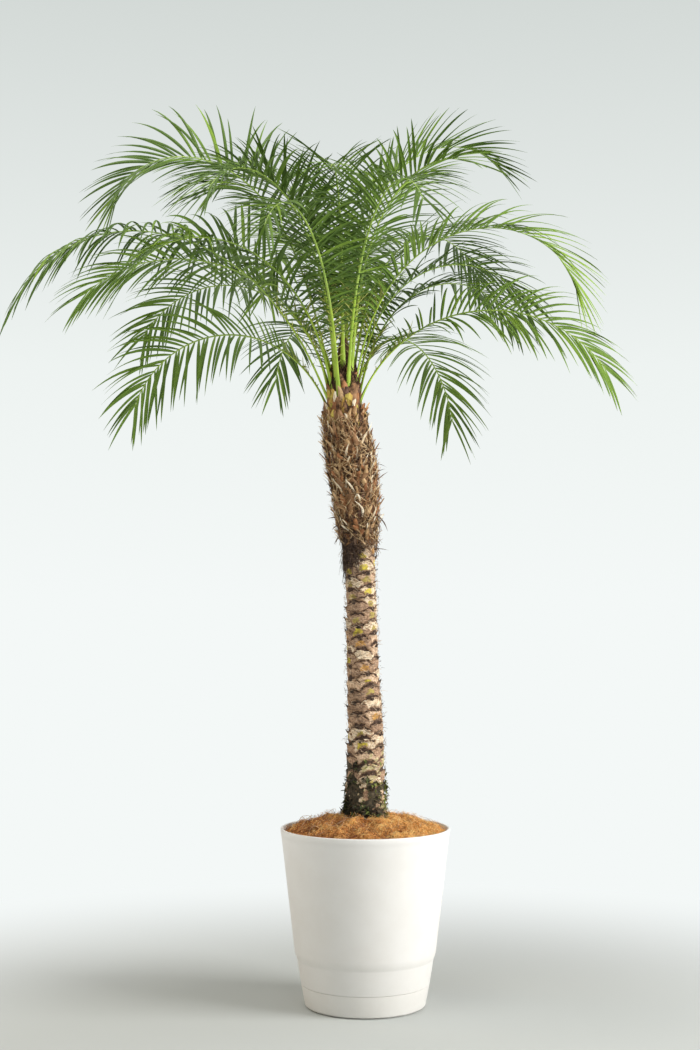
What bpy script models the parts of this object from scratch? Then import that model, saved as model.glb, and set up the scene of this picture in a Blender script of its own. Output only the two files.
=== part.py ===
"""Pygmy date palm in a white round pot, 1.8 m tall.

Metres, +Z up. The origin is the centre of the flat underside, on the floor.
The camera that the sizes were read from looks along +Y, with +X to the right.
"""

import math
import random
from collections import namedtuple

import bmesh
import bpy
from mathutils import Matrix, Vector
from mathutils.bvhtree import BVHTree

GAP = 0.0003

# Pot and saucer
POT_HEIGHT = 0.348
POT_RIM_RADIUS = 0.168
POT_WALL = 0.005
POT_FLOOR = 0.005
SHOULDER_HEIGHT = 0.092
SHOULDER_RADIUS = 0.138
SHOULDER_STEP = 0.003
SAUCER_HEIGHT = 0.044
SAUCER_RADIUS = 0.127
SAUCER_FOOT_RADIUS = 0.119
SAUCER_WALL = 0.004
SAUCER_EDGE = 0.003
TURNED_STEPS = 40

# Soil and mulch inside the pot
SOIL_TOP = 0.316
MULCH_EDGE = 0.338
MULCH_CROWN = 0.368
MULCH_STEPS = 6

# Trunk: height, centre along X, radius
TRUNK_RINGS = (
    (SOIL_TOP + GAP, 0.000, 0.046),
    (0.345, 0.000, 0.043),
    (0.430, 0.000, 0.039),
    (0.530, 0.001, 0.035),
    (0.700, -0.006, 0.031),
    (0.900, -0.010, 0.029),
    (0.950, -0.015, 0.036),
    (1.010, -0.019, 0.042),
    (1.060, -0.026, 0.046),
    (1.110, -0.033, 0.045),
    (1.160, -0.041, 0.040),
    (1.200, -0.043, 0.034),
    (1.240, -0.043, 0.026),
    (1.290, -0.043, 0.016),
    (1.330, -0.043, 0.007),
)
TRUNK_SIDES_RESOLUTION = 14
RING_LEAN = 0.001

# Old leaf bases up the trunk, one after another round a spiral
GOLDEN_ANGLE = math.radians(137.5)
PEG_SINK = 0.002
PEG_TIP_SHARE = 0.25
Pegs = namedtuple("Pegs", "first last rise width length tilt")
PEG_BANDS = (
    Pegs(first=0.425, last=0.920, rise=0.019, width=0.006, length=0.013, tilt=38),
    Pegs(first=0.945, last=1.165, rise=0.010, width=0.010, length=0.017, tilt=62),
)

# Fronds: angles in degrees, lengths in metres. Azimuth runs from +X towards +Y.
# The midrib leaves the trunk at the launch angle above level, and has drooped by
# the droop angle at its tip; a larger bend puts the drooping nearer the tip.
Frond = namedtuple("Frond", "azimuth launch droop bend length roll leaflet seat")
FRONDS = (
    # the high fronds round the heart of the crown
    Frond(-94, 87, 122, 2.0, 0.50, 0, 0.16, 1.292),
    Frond(14, 88, 135, 2.5, 0.65, 0, 0.15, 1.286),
    Frond(146, 86, 118, 2.1, 0.62, 0, 0.17, 1.280),
    Frond(-158, 86, 134, 2.4, 0.56, 0, 0.17, 1.274),
    Frond(-42, 84, 108, 2.2, 0.54, 0, 0.17, 1.268),
    Frond(82, 82, 130, 1.5, 0.58, 0, 0.16, 1.262),
    # the middle ones, which arch over at half their length
    Frond(176, 76, 148, 2.6, 0.76, -50, 0.17, 1.252),
    Frond(-12, 79, 154, 1.5, 0.66, 20, 0.17, 1.248),
    Frond(-124, 80, 134, 1.9, 0.64, 0, 0.17, 1.246),
    Frond(50, 78, 132, 1.7, 0.66, 0, 0.17, 1.244),
    Frond(112, 77, 132, 1.7, 0.68, 0, 0.17, 1.240),
    Frond(-70, 80, 134, 1.8, 0.62, 0, 0.17, 1.238),
    Frond(198, 66, 124, 1.5, 0.78, 0, 0.18, 1.206),
    Frond(22, 80, 138, 1.5, 0.56, 0, 0.16, 1.228),
    # the low ones, which hang round the trunk
    Frond(150, 74, 126, 1.2, 0.62, 20, 0.16, 1.222),
    Frond(-108, 78, 132, 1.7, 0.60, 0, 0.16, 1.220),
    Frond(-148, 76, 132, 1.4, 0.60, 10, 0.17, 1.232),
    Frond(86, 80, 132, 1.5, 0.60, 0, 0.16, 1.212),
    Frond(186, 78, 121, 1.1, 0.63, 20, 0.17, 1.224),
    Frond(-4, 68, 124, 1.0, 0.60, 45, 0.16, 1.204),
    Frond(36, 77, 126, 1.4, 0.58, 0, 0.16, 1.202),
    Frond(60, 70, 140, 1.0, 0.58, 0, 0.17, 1.200),
    Frond(114, 72, 142, 1.4, 0.48, 0, 0.15, 1.196),
    Frond(162, 66, 136, 1.1, 0.55, 35, 0.17, 1.192),
)
RACHIS_STEPS = 60
RIB_WIDTH = (0.011, 0.004)
RIB_DEPTH = 0.005
BARE = 0.27
PAIRS = 11
ROOT_LENGTH = 0.011
ROOT_PLACE = 0.3
RIB_TEST_STEPS = 24
BLADE_WIDTH = 0.024
BLADE_SHARE = 0.42
SEATS = (min(frond.seat for frond in FRONDS), max(frond.seat for frond in FRONDS))
LEAFLET_SAG = (0.95, 0.45)
LEAFLET_LIFT = (20, 42)
LIFT_LOSS = 0.6
SAG_GROWTH = 1.2
LEAFLET_SPREAD = ((0.0, 75), (0.5, 52), (1.0, 22))
LEAFLET_LENGTH = ((0.0, 0.4), (0.1, 0.7), (0.35, 1.0), (0.75, 0.9), (1.0, 0.62))
LEAFLET_TWITCH = 5
LEAFLET_STEPS = 8
LEAFLET_TRIES = (1.0, 0.75, 0.5)
SPLIT_LEAD = 0.012
CLEAR = 0.0012


def ramp(x, points):
    """Straight-line value at x between (x, value) points."""
    if x <= points[0][0]:
        return points[0][1]
    for (x0, y0), (x1, y1) in zip(points, points[1:]):
        if x <= x1:
            return y0 + (y1 - y0) * (x - x0) / (x1 - x0)
    return points[-1][1]


def trunk_centre(height):
    return ramp(height, [(z, x) for z, x, _ in TRUNK_RINGS])


def trunk_radius(height):
    return ramp(height, [(z, r) for z, _, r in TRUNK_RINGS])


def new_collection(name):
    collection = bpy.data.collections.new(name)
    bpy.context.scene.collection.children.link(collection)
    return collection


def new_material(name, colour, roughness):
    material = bpy.data.materials.new(name)
    material.use_nodes = True
    shader = material.node_tree.nodes["Principled BSDF"]
    shader.inputs["Base Color"].default_value = (*colour, 1.0)
    shader.inputs["Roughness"].default_value = roughness
    shader.inputs["Metallic"].default_value = 0.0
    return material


def new_object(name, mesh, collection, material):
    thing = bpy.data.objects.new(name, mesh)
    thing.data.materials.append(material)
    collection.objects.link(thing)
    return thing


def turned(name, profile, collection, material, closed=False):
    """A profile of (radius, height) points turned round the Z axis."""
    mesh = bpy.data.meshes.new(name)
    edges = [(i, i + 1) for i in range(len(profile) - 1)]
    if closed:
        edges.append((len(profile) - 1, 0))
    mesh.from_pydata([(r, 0.0, z) for r, z in profile], edges, [])
    thing = new_object(name, mesh, collection, material)
    screw = thing.modifiers.new("Turn", "SCREW")
    screw.axis = "Z"
    screw.steps = TURNED_STEPS
    screw.render_steps = TURNED_STEPS
    screw.use_merge_vertices = True
    screw.merge_threshold = 0.0001
    screw.use_smooth_shade = True
    return thing


def pot_outer_radius(height):
    return ramp(height, [(SHOULDER_HEIGHT, SHOULDER_RADIUS), (POT_HEIGHT, POT_RIM_RADIUS)])


def foot_radius(height):
    """Radius of the pot's foot, which goes down inside the saucer."""
    narrow = SAUCER_FOOT_RADIUS - SAUCER_WALL - GAP
    wide = SHOULDER_RADIUS - SHOULDER_STEP
    rest = SAUCER_RADIUS - SAUCER_WALL - GAP
    return ramp(height, [(SAUCER_WALL, narrow), (SAUCER_HEIGHT, rest), (SHOULDER_HEIGHT, wide)])


def pot_inner_radius(height):
    if height < SHOULDER_HEIGHT:
        return foot_radius(height) - POT_WALL
    return pot_outer_radius(height) - POT_WALL - SHOULDER_STEP


def make_pot(collection):
    """The tapered pot, with a rolled rim and a foot that is a step narrower."""
    lip = POT_WALL / 2
    bottom = SAUCER_WALL + GAP
    floor = bottom + POT_FLOOR
    seam = SAUCER_HEIGHT + GAP
    profile = [
        (0.0, floor),
        (pot_inner_radius(floor), floor),
        (pot_inner_radius(SHOULDER_HEIGHT - GAP), SHOULDER_HEIGHT),
        (pot_inner_radius(POT_HEIGHT), POT_HEIGHT - 2 * lip),
        (POT_RIM_RADIUS - POT_WALL, POT_HEIGHT - lip / 2),
        (POT_RIM_RADIUS - lip, POT_HEIGHT),
        (POT_RIM_RADIUS, POT_HEIGHT - lip),
        (pot_outer_radius(POT_HEIGHT - 4 * lip), POT_HEIGHT - 4 * lip),
        (SHOULDER_RADIUS, SHOULDER_HEIGHT),
        (SHOULDER_RADIUS - SHOULDER_STEP, SHOULDER_HEIGHT),
        (SAUCER_RADIUS, seam),
        (foot_radius(seam), seam),
        (foot_radius(bottom), bottom),
        (0.0, bottom),
    ]
    white = new_material("pot_white", (0.80, 0.79, 0.75), 0.5)
    return turned("pot", profile, collection, white)


def make_saucer(collection):
    """The saucer, flush with the foot, flat underneath."""
    profile = [
        (0.0, SAUCER_WALL),
        (SAUCER_FOOT_RADIUS - SAUCER_WALL, SAUCER_WALL),
        (SAUCER_RADIUS - SAUCER_WALL, SAUCER_HEIGHT),
        (SAUCER_RADIUS, SAUCER_HEIGHT),
        (SAUCER_FOOT_RADIUS, SAUCER_EDGE),
        (SAUCER_FOOT_RADIUS - SAUCER_EDGE, 0.0),
        (0.0, 0.0),
    ]
    white = new_material("saucer_white", (0.78, 0.77, 0.73), 0.5)
    return turned("saucer", profile, collection, white)


def make_soil(collection):
    """Root ball and soil, a plain filling of the pot up to the trunk's foot."""
    floor = SAUCER_WALL + 2 * GAP + POT_FLOOR
    low = SHOULDER_HEIGHT - GAP
    profile = [
        (0.0, SOIL_TOP),
        (pot_inner_radius(SOIL_TOP) - GAP, SOIL_TOP),
        (pot_inner_radius(low) - GAP, low),
        (pot_inner_radius(floor) - GAP, floor),
        (0.0, floor),
    ]
    brown = new_material("soil", (0.05, 0.035, 0.025), 0.95)
    return turned("potting_soil", profile, collection, brown)


def make_mulch(collection):
    """The coconut fibre on the soil, heaped up against the trunk."""
    bottom = SOIL_TOP + GAP
    hole = trunk_radius(bottom) + GAP
    edge = pot_inner_radius(MULCH_EDGE) - GAP
    rise = MULCH_CROWN - MULCH_EDGE
    profile = []
    for i in range(MULCH_STEPS + 1):
        share = i / MULCH_STEPS
        radius = hole + (edge - hole) * share
        height = MULCH_EDGE + rise * math.cos(share * math.pi / 2)
        profile.append((radius, height))
    profile.append((pot_inner_radius(bottom) - GAP, bottom))
    profile.append((hole, bottom))
    tan = new_material("coir", (0.42, 0.22, 0.08), 0.95)
    return turned("coir_mulch", profile, collection, tan, closed=True)


def mesh_from(thing):
    """The finished mesh of an object, with its modifiers and any caps welded."""
    graph = bpy.context.evaluated_depsgraph_get()
    mesh = bpy.data.meshes.new_from_object(thing.evaluated_get(graph), depsgraph=graph)
    shape = bmesh.new()
    shape.from_mesh(mesh)
    bmesh.ops.remove_doubles(shape, verts=shape.verts, dist=0.00005)
    bmesh.ops.recalc_face_normals(shape, faces=shape.faces)
    shape.to_mesh(mesh)
    shape.free()
    return mesh


def trunk_core(collection):
    """The leaning, tapering stem: a tube with a radius at each ring."""
    curve = bpy.data.curves.new("trunk_line", "CURVE")
    curve.dimensions = "3D"
    curve.bevel_depth = 1.0
    curve.bevel_resolution = TRUNK_SIDES_RESOLUTION
    curve.use_fill_caps = True
    spline = curve.splines.new("POLY")
    spline.points.add(len(TRUNK_RINGS) - 1)
    for point, (height, centre, radius) in zip(spline.points, TRUNK_RINGS):
        point.co = (centre, 0.0, height, 1.0)
        point.radius = radius
    line = bpy.data.objects.new("trunk_line", curve)
    collection.objects.link(line)
    bpy.context.view_layer.update()
    mesh = mesh_from(line)
    bpy.data.objects.remove(line)
    return mesh


def make_peg(band, index, height, chance):
    """One old leaf base: a square cone that leans up and out of the trunk."""
    shape = bmesh.new()
    length = band.length * chance.uniform(0.8, 1.2)
    bmesh.ops.create_cone(
        shape, cap_ends=True, segments=4,
        radius1=band.width, radius2=PEG_TIP_SHARE * band.width, depth=2 * length,
    )
    heading = index * GOLDEN_ANGLE
    out = Vector((math.cos(heading), math.sin(heading), 0.0))
    tilt = math.radians(band.tilt)
    along = out * math.cos(tilt) + Vector((0.0, 0.0, math.sin(tilt)))
    turn = along.to_track_quat("Z", "Y").to_matrix().to_4x4()
    foot = Vector((trunk_centre(height), 0.0, height)) + out * (trunk_radius(height) - PEG_SINK)
    bmesh.ops.transform(shape, matrix=Matrix.Translation(foot) @ turn, verts=shape.verts)
    mesh = bpy.data.meshes.new("peg")
    shape.to_mesh(mesh)
    shape.free()
    return mesh


def make_trunk(collection, cutters):
    """The stem with its old leaf bases fused on, flat where it stands on the soil."""
    bark = new_material("bark", (0.30, 0.22, 0.15), 0.9)
    trunk = new_object("trunk", trunk_core(cutters), collection, bark)
    chance = random.Random(11)
    pegs = new_collection("leaf_bases")
    index = 0
    for band in PEG_BANDS:
        height = band.first
        while height < band.last:
            peg = bpy.data.objects.new("peg", make_peg(band, index, height, chance))
            pegs.objects.link(peg)
            height += band.rise
            index += 1
    union = trunk.modifiers.new("Join leaf bases", "BOOLEAN")
    union.operation = "UNION"
    union.operand_type = "COLLECTION"
    union.collection = pegs
    union.solver = "EXACT"
    bpy.context.view_layer.update()
    joined = mesh_from(trunk)
    trunk.modifiers.clear()
    trunk.data = joined
    for peg in list(pegs.objects):
        bpy.data.objects.remove(peg)
    bpy.data.collections.remove(pegs)
    trunk.data.shade_smooth()
    trunk.data.set_sharp_from_angle(angle=math.radians(35))
    return trunk


def seat_of(frond):
    """Where a midrib starts: its upper edge lies a gap clear of the trunk.

    The trunk's rings lean with it, so its radius is read a little lower down.
    """
    launch = math.radians(frond.launch)
    half = RIB_DEPTH / 2
    touch = frond.seat + half * math.cos(launch) - RING_LEAN
    reach = trunk_radius(touch) + half * math.sin(launch) + GAP
    heading = math.radians(frond.azimuth)
    out = Vector((math.cos(heading), math.sin(heading), 0.0))
    return Vector((trunk_centre(touch), 0.0, frond.seat)) + out * reach


def grow_rachis(frond):
    """Frames (point, tangent, side, normal) along the midrib from trunk to tip."""
    heading = math.radians(frond.azimuth)
    level = Vector((math.cos(heading), math.sin(heading), 0.0))
    across = Vector((-math.sin(heading), math.cos(heading), 0.0))
    up = Vector((0.0, 0.0, 1.0))

    def tangent_at(t):
        pitch = math.radians(frond.launch - frond.droop * t ** frond.bend)
        return level * math.cos(pitch) + up * math.sin(pitch)

    frames = []
    point = seat_of(frond)
    for i in range(RACHIS_STEPS + 1):
        t = i / RACHIS_STEPS
        tangent = tangent_at(t)
        twist = Matrix.Rotation(math.radians(frond.roll) * min(2 * t, 1.0), 3, tangent)
        frames.append((point.copy(), tangent, twist @ across, twist @ tangent.cross(across)))
        point += tangent_at(t + 0.5 / RACHIS_STEPS) * (frond.length / RACHIS_STEPS)
    return frames


def frame_at(frames, t):
    place = min(max(t, 0.0), 1.0) * (len(frames) - 1)
    i = min(int(place), len(frames) - 2)
    share = place - i
    return tuple(a.lerp(b, share) for a, b in zip(frames[i], frames[i + 1]))


def by_age(frond, values):
    """A value between the lowest, oldest frond's and the topmost, youngest one's."""
    return ramp(frond.seat, list(zip(SEATS, values)))


def leaflet_line(frond, frame, side, u, length, chance):
    """Root, middle and tip of a leaflet that leaves the midrib and sags."""
    point, tangent, across, normal = frame
    spread = math.radians(ramp(u, LEAFLET_SPREAD) + chance.gauss(0.0, LEAFLET_TWITCH))
    lift = by_age(frond, LEAFLET_LIFT) * (1.0 - LIFT_LOSS * u) + chance.gauss(0.0, LEAFLET_TWITCH)
    lift = math.radians(lift)
    out = across * side * math.cos(lift) + normal * math.sin(lift)
    heading = tangent * math.cos(spread) + out * math.sin(spread)
    sag = by_age(frond, LEAFLET_SAG)
    line = [point.copy()]
    for i in range(LEAFLET_STEPS):
        share = (i + 0.5) / LEAFLET_STEPS
        way = (heading + Vector((0.0, 0.0, -sag * share ** SAG_GROWTH))).normalized()
        line.append(line[-1] + way * (length / LEAFLET_STEPS))
    return line[0], line[LEAFLET_STEPS // 2], line[LEAFLET_STEPS]


def blade_solid(outline, thickness):
    """A leaflet's five corners given a thickness, for clearance tests."""
    a, b, high, tip, low = outline
    root_normal = (b - a).cross(high - a).normalized()
    tip_normal = (high - low).cross(tip - low).normalized()
    middle_normal = (root_normal + tip_normal).normalized()
    normals = (root_normal, root_normal, middle_normal, tip_normal, middle_normal)
    lifts = [normal * (thickness / 2) for normal in normals]
    points = [p + lift for p, lift in zip(outline, lifts)]
    points += [p - lift for p, lift in zip(outline, lifts)]
    faces = [(0, 1, 2, 4), (2, 3, 4), (5, 9, 7, 6), (7, 9, 8)]
    for i in range(5):
        j = (i + 1) % 5
        faces.append((i, j, 5 + j, 5 + i))
    return points, faces


def leaflet_outline(a, b, middle, tip, width):
    """Five corners: the root's two, the widest part's two and the tip."""
    along = (tip - a).normalized()
    root = b - a
    wide = (root - along * root.dot(along)).normalized() * (width / 2)
    return [a, b, middle + wide, tip, middle - wide]


def box_of(points):
    low = Vector(min(p[i] for p in points) for i in range(3))
    high = Vector(max(p[i] for p in points) for i in range(3))
    return low, high


class Crowd:
    """What is already in the crown, so that new leaflets can keep clear of it."""

    def __init__(self):
        self.items = []

    def add(self, owner, points, faces):
        low, high = box_of(points)
        self.items.append((owner, low, high, BVHTree.FromPolygons(points, faces)))

    def is_free(self, owner, points, faces):
        low, high = box_of(points)
        tree = BVHTree.FromPolygons(points, faces)
        for other, other_low, other_high, other_tree in self.items:
            if other == owner:
                continue
            if any(low[i] > other_high[i] or high[i] < other_low[i] for i in range(3)):
                continue
            if tree.overlap(other_tree):
                return False
        return True


def rib_corners(frame, t, extra=0.0):
    """Left and right edge of the midrib at t."""
    point, _, across, _ = frame
    half = ramp(t, [(0.0, RIB_WIDTH[0]), (1.0, RIB_WIDTH[1])]) / 2 + extra
    return point - across * half, point + across * half


def rib_tube(frames):
    """The midrib as a closed four-cornered tube, for clearance tests."""
    points, faces = [], []
    for i in range(RIB_TEST_STEPS + 1):
        t = i / RIB_TEST_STEPS
        frame = frame_at(frames, t)
        left, right = rib_corners(frame, t, CLEAR)
        lift = frame[3] * (RIB_DEPTH / 2 + CLEAR)
        points += [left - lift, right - lift, right + lift, left + lift]
    for i in range(RIB_TEST_STEPS):
        for j in range(4):
            k = (j + 1) % 4
            faces.append((4 * i + j, 4 * i + k, 4 * i + 4 + k, 4 * i + 4 + j))
    return points, faces


def pair_place(frond, k):
    """Where leaflet pair k sits: share u of the leafy part, and start and end on the rib."""
    u = (k + 0.5) / PAIRS
    start = BARE + (1.0 - BARE) * (k + ROOT_PLACE) / PAIRS
    return u, start, start + ROOT_LENGTH / frond.length


def leaflet_length(frond, u):
    return frond.leaflet * ramp(u, LEAFLET_LENGTH)


def grow_leaflets(number, frond, frames, k, crowd, chance):
    """The outlines of pair k, shortened or left out where the crown is full."""
    u, start, end = pair_place(frond, k)
    first = rib_corners(frame_at(frames, start), start)
    second = rib_corners(frame_at(frames, end), end)
    found = {}
    for index, side in enumerate((-1, 1)):
        a, b = first[index], second[index]
        frame = (a, *frame_at(frames, start)[1:])
        for size in LEAFLET_TRIES:
            length = leaflet_length(frond, u) * size
            _, middle, tip = leaflet_line(frond, frame, side, u, length, chance)
            outline = leaflet_outline(a, b, middle, tip, BLADE_WIDTH * (0.5 + 0.5 * size))
            slab = blade_solid(outline, RIB_DEPTH * BLADE_SHARE + 2 * CLEAR)
            if crowd.is_free(("rib", number), *slab):
                crowd.add(("leaf", number), *slab)
                found[side] = outline
                break
    return found


def split_place(frond):
    """Share of the length at which the midrib is level, between two leaflet pairs."""
    level = (frond.launch / frond.droop) ** (1.0 / frond.bend)
    pair = round((level - BARE) / (1.0 - BARE) * PAIRS)
    return BARE + (1.0 - BARE) * pair / PAIRS


def frond_sheet(name, frond, frames, leaflets, first, last):
    """The midrib between two places as a strip, with its leaflets joined to the edges."""
    stations = {first: None, last: None}
    if first == 0.0:
        stations[BARE / 2] = None
    else:
        stations[first + SPLIT_LEAD] = None
    if last < 1.0:
        stations[last - SPLIT_LEAD] = None
    for k in leaflets:
        _, start, end = pair_place(frond, k)
        if first < start and end < last:
            stations[start] = k
            stations[end] = None
    order = sorted(stations)
    shape = bmesh.new()
    rib = shape.verts.layers.deform.verify()
    edges = []
    for t in order:
        corners = rib_corners(frame_at(frames, t), t)
        edges.append([shape.verts.new(corner) for corner in corners])
    for vertex in shape.verts:
        vertex[rib][0] = 1.0
    for i, t in enumerate(order[:-1]):
        (left, right), (next_left, next_right) = edges[i], edges[i + 1]
        shape.faces.new((left, right, next_right, next_left))
        if stations[t] is None:
            continue
        for side, a, b in ((-1, left, next_left), (1, right, next_right)):
            if side not in leaflets[stations[t]]:
                continue
            outline = leaflets[stations[t]][side]
            high, tip, low = (shape.verts.new(corner) for corner in outline[2:])
            shape.faces.new((a, b, high, low))
            shape.faces.new((low, high, tip))
    bmesh.ops.recalc_face_normals(shape, faces=shape.faces)
    mesh = bpy.data.meshes.new(name)
    shape.to_mesh(mesh)
    shape.free()
    return mesh


def make_frond_piece(name, mesh, collection, material):
    """Gives a sheet its thickness: full at the midrib, less on the leaflets."""
    piece = new_object(name, mesh, collection, material)
    piece.vertex_groups.new(name="rib")
    thick = piece.modifiers.new("Thickness", "SOLIDIFY")
    thick.thickness = RIB_DEPTH
    thick.offset = 0.0
    thick.vertex_group = "rib"
    thick.thickness_vertex_group = BLADE_SHARE
    return piece


def make_fronds(collection, trunk):
    """Every frond, in two pieces that meet where it arches over."""
    green = new_material("frond_green", (0.06, 0.14, 0.03), 0.45)
    crowd = Crowd()
    chance = random.Random(5)
    points = [vertex.co for vertex in trunk.data.vertices]
    crowd.add("trunk", points, [tuple(face.vertices) for face in trunk.data.polygons])
    ribs = [grow_rachis(frond) for frond in FRONDS]
    for number, frames in enumerate(ribs):
        crowd.add(("rib", number), *rib_tube(frames))
    leaflets = [{} for _ in FRONDS]
    for k in reversed(range(PAIRS)):
        for number, frond in enumerate(FRONDS):
            leaflets[number][k] = grow_leaflets(number, frond, ribs[number], k, crowd, chance)
    for number, frond in enumerate(FRONDS):
        name = f"frond_{number + 1:02d}"
        middle = split_place(frond)
        opening = GAP / frond.length
        spans = ((f"{name}_stalk", 0.0, middle), (f"{name}_end", middle + opening, 1.0))
        for piece, first, last in spans:
            sheet = frond_sheet(piece, frond, ribs[number], leaflets[number], first, last)
            make_frond_piece(piece, sheet, collection, green)


def main():
    for thing in list(bpy.data.objects):
        bpy.data.objects.remove(thing)
    palm = new_collection("pygmy_date_palm")
    cutters = new_collection("cutters")
    make_saucer(palm)
    make_pot(palm)
    make_soil(palm)
    make_mulch(palm)
    trunk = make_trunk(palm, cutters)
    make_fronds(palm, trunk)


main()
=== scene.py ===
# %% [markdown]
# # A pygmy date palm in a white pot
# This lesson dresses a finished solid model of a potted palm. The solids give every size, and here
# they get the bark, the fibre, the leaflets and the moulded plastic of the real thing. The model is
# loaded first, so that each piece can be placed in metres, just where its solid stands.

# %% Load the solid model
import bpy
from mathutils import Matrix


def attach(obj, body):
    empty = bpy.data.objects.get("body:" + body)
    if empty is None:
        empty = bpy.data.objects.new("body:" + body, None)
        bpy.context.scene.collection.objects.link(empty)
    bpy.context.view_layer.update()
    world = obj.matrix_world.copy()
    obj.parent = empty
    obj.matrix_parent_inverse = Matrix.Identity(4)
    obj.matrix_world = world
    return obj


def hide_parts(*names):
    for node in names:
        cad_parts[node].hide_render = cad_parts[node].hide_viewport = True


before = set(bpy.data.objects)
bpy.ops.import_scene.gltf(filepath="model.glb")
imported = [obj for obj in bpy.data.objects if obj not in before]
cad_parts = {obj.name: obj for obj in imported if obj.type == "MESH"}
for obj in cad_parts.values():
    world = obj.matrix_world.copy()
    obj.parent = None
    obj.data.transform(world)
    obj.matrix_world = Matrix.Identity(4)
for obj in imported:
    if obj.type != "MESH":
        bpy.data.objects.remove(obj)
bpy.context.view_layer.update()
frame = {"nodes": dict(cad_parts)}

# %% Tools
import math
import random

import bpy
import numpy as np
from mathutils import Matrix, Vector, noise


def into_scene(name, data):
    """An object that shows this data, linked into the scene."""
    thing = bpy.data.objects.new(name, data)
    bpy.context.scene.collection.objects.link(thing)
    return thing


frond_nodes = sorted(name for name in frame["nodes"] if name.startswith("frond_"))
print("solids:", len(frame["nodes"]), "of them parts of fronds:", len(frond_nodes))

# %% [markdown]
# ## The camera
# The photograph was taken from about 3.3 m away at table height, looking almost level. A long lens
# keeps the trunk straight. The lens follows from the focal length in pixels of the 700 by 1050
# picture, so sizes in the render can be laid over sizes in the photograph.

# %% Place the camera
PHOTO_HEIGHT = 1050
FOCAL_PIXELS = 1635
SENSOR_HEIGHT = 36.0
CAMERA_PLACE = (0.0, -3.27, 0.80)
CAMERA_TURN = (92.6, 0.0, 0.53)

lens = bpy.data.cameras.new("camera")
lens.sensor_fit = "VERTICAL"
lens.sensor_height = SENSOR_HEIGHT
lens.lens = SENSOR_HEIGHT * FOCAL_PIXELS / PHOTO_HEIGHT
camera = into_scene("camera", lens)
camera.location = CAMERA_PLACE
camera.rotation_euler = [math.radians(angle) for angle in CAMERA_TURN]
bpy.context.scene.camera = camera
print("lens:", round(lens.lens, 1), "mm")

# %% [markdown]
# ## Floor, air and light
# The palm stands in a plain studio: a grey floor that fades into a bright background. One large
# plane does it, with a colour that changes with the distance from the pot, and the sky takes the
# same white, so that no horizon shows. A big soft lamp on the right models the round pot, a weak
# warm one on the left keeps its shaded side from going dead, and one above lights the crown.

# %% Node helpers and sRGB colours
def paint(red, green, blue):
    """A colour given in 0 to 255, as Blender's linear values."""
    share = [value / 255 for value in (red, green, blue)]
    linear = [s / 12.92 if s <= 0.04045 else ((s + 0.055) / 1.055) ** 2.4 for s in share]
    return (*linear, 1.0)


def add_node(tree, kind, values=None, **settings):
    """A node with its settings and with plain values on some of its inputs."""
    node = tree.nodes.new(kind)
    for name, value in settings.items():
        setattr(node, name, value)
    for name, value in (values or {}).items():
        node.inputs[name].default_value = value
    return node


def wire(tree, *links):
    """Joins sockets, each link given as (from, to)."""
    for source, target in links:
        tree.links.new(source, target)


def fade(tree, source, stops):
    """A colour ramp along a value between 0 and 1."""
    ramp_node = tree.nodes.new("ShaderNodeValToRGB")
    elements = ramp_node.color_ramp.elements
    while len(elements) < len(stops):
        elements.new(0.5)
    for element, (place, colour) in zip(elements, stops):
        element.position = place
        element.color = colour
    tree.links.new(source, ramp_node.inputs["Fac"])
    return ramp_node.outputs["Color"]


HORIZON = paint(244, 248, 247)
print("white of the background:", [round(value, 3) for value in HORIZON[:3]])

# %% A large plane for the floor
FLOOR_SIZE = 60.0

half = FLOOR_SIZE / 2
floor_mesh = bpy.data.meshes.new("floor")
corners = [(-half, -half, 0), (half, -half, 0), (half, half, 0), (-half, half, 0)]
floor_mesh.from_pydata(corners, [], [(0, 1, 2, 3)])
floor = into_scene("floor", floor_mesh)
print("floor:", FLOOR_SIZE, "m wide")

# %% Floor paint: grey near the pot, glowing like the background far from it
FADE_CENTRE = (0.0, -0.40, 0.0)
FADE_FROM = 0.55
FADE_TO = 1.80
FLOOR_GREY = paint(188, 191, 188)
BLACK = (0.0, 0.0, 0.0, 1.0)

floor_paint = bpy.data.materials.new("floor_paint")
floor_paint.use_nodes = True
floor_mesh.materials.append(floor_paint)
tree = floor_paint.node_tree
shader = tree.nodes["Principled BSDF"]
shader.inputs["Roughness"].default_value = 1.0
shader.inputs["Specular IOR Level"].default_value = 0.0
shader.inputs["Emission Strength"].default_value = 1.0
place = add_node(tree, "ShaderNodeTexCoord")
aside = add_node(tree, "ShaderNodeVectorMath", {1: FADE_CENTRE}, operation="SUBTRACT")
reach = add_node(tree, "ShaderNodeVectorMath", operation="LENGTH")
span = {"From Min": FADE_FROM, "From Max": FADE_TO}
near_far = add_node(tree, "ShaderNodeMapRange", span, interpolation_type="SMOOTHSTEP")
faded = near_far.outputs["Result"]
wire(
    tree,
    (place.outputs["Object"], aside.inputs[0]),
    (aside.outputs["Vector"], reach.inputs[0]),
    (reach.outputs["Value"], near_far.inputs["Value"]),
    (fade(tree, faded, [(0.0, FLOOR_GREY), (1.0, BLACK)]), shader.inputs["Base Color"]),
    (fade(tree, faded, [(0.0, BLACK), (1.0, HORIZON)]), shader.inputs["Emission Color"]),
)
print("floor fades from", FADE_FROM, "to", FADE_TO, "m round", FADE_CENTRE)

# %% Sky: what the camera sees, and a weaker one that lights the palm
SKY_LIGHT = 0.42
SKY_TINT = (1.0, 1.0, 0.98, 1.0)
SKY_RISE = 0.4
SKY_STOPS = [(0.0, HORIZON), (0.35, paint(238, 243, 241)), (1.0, paint(204, 210, 207))]

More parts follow.
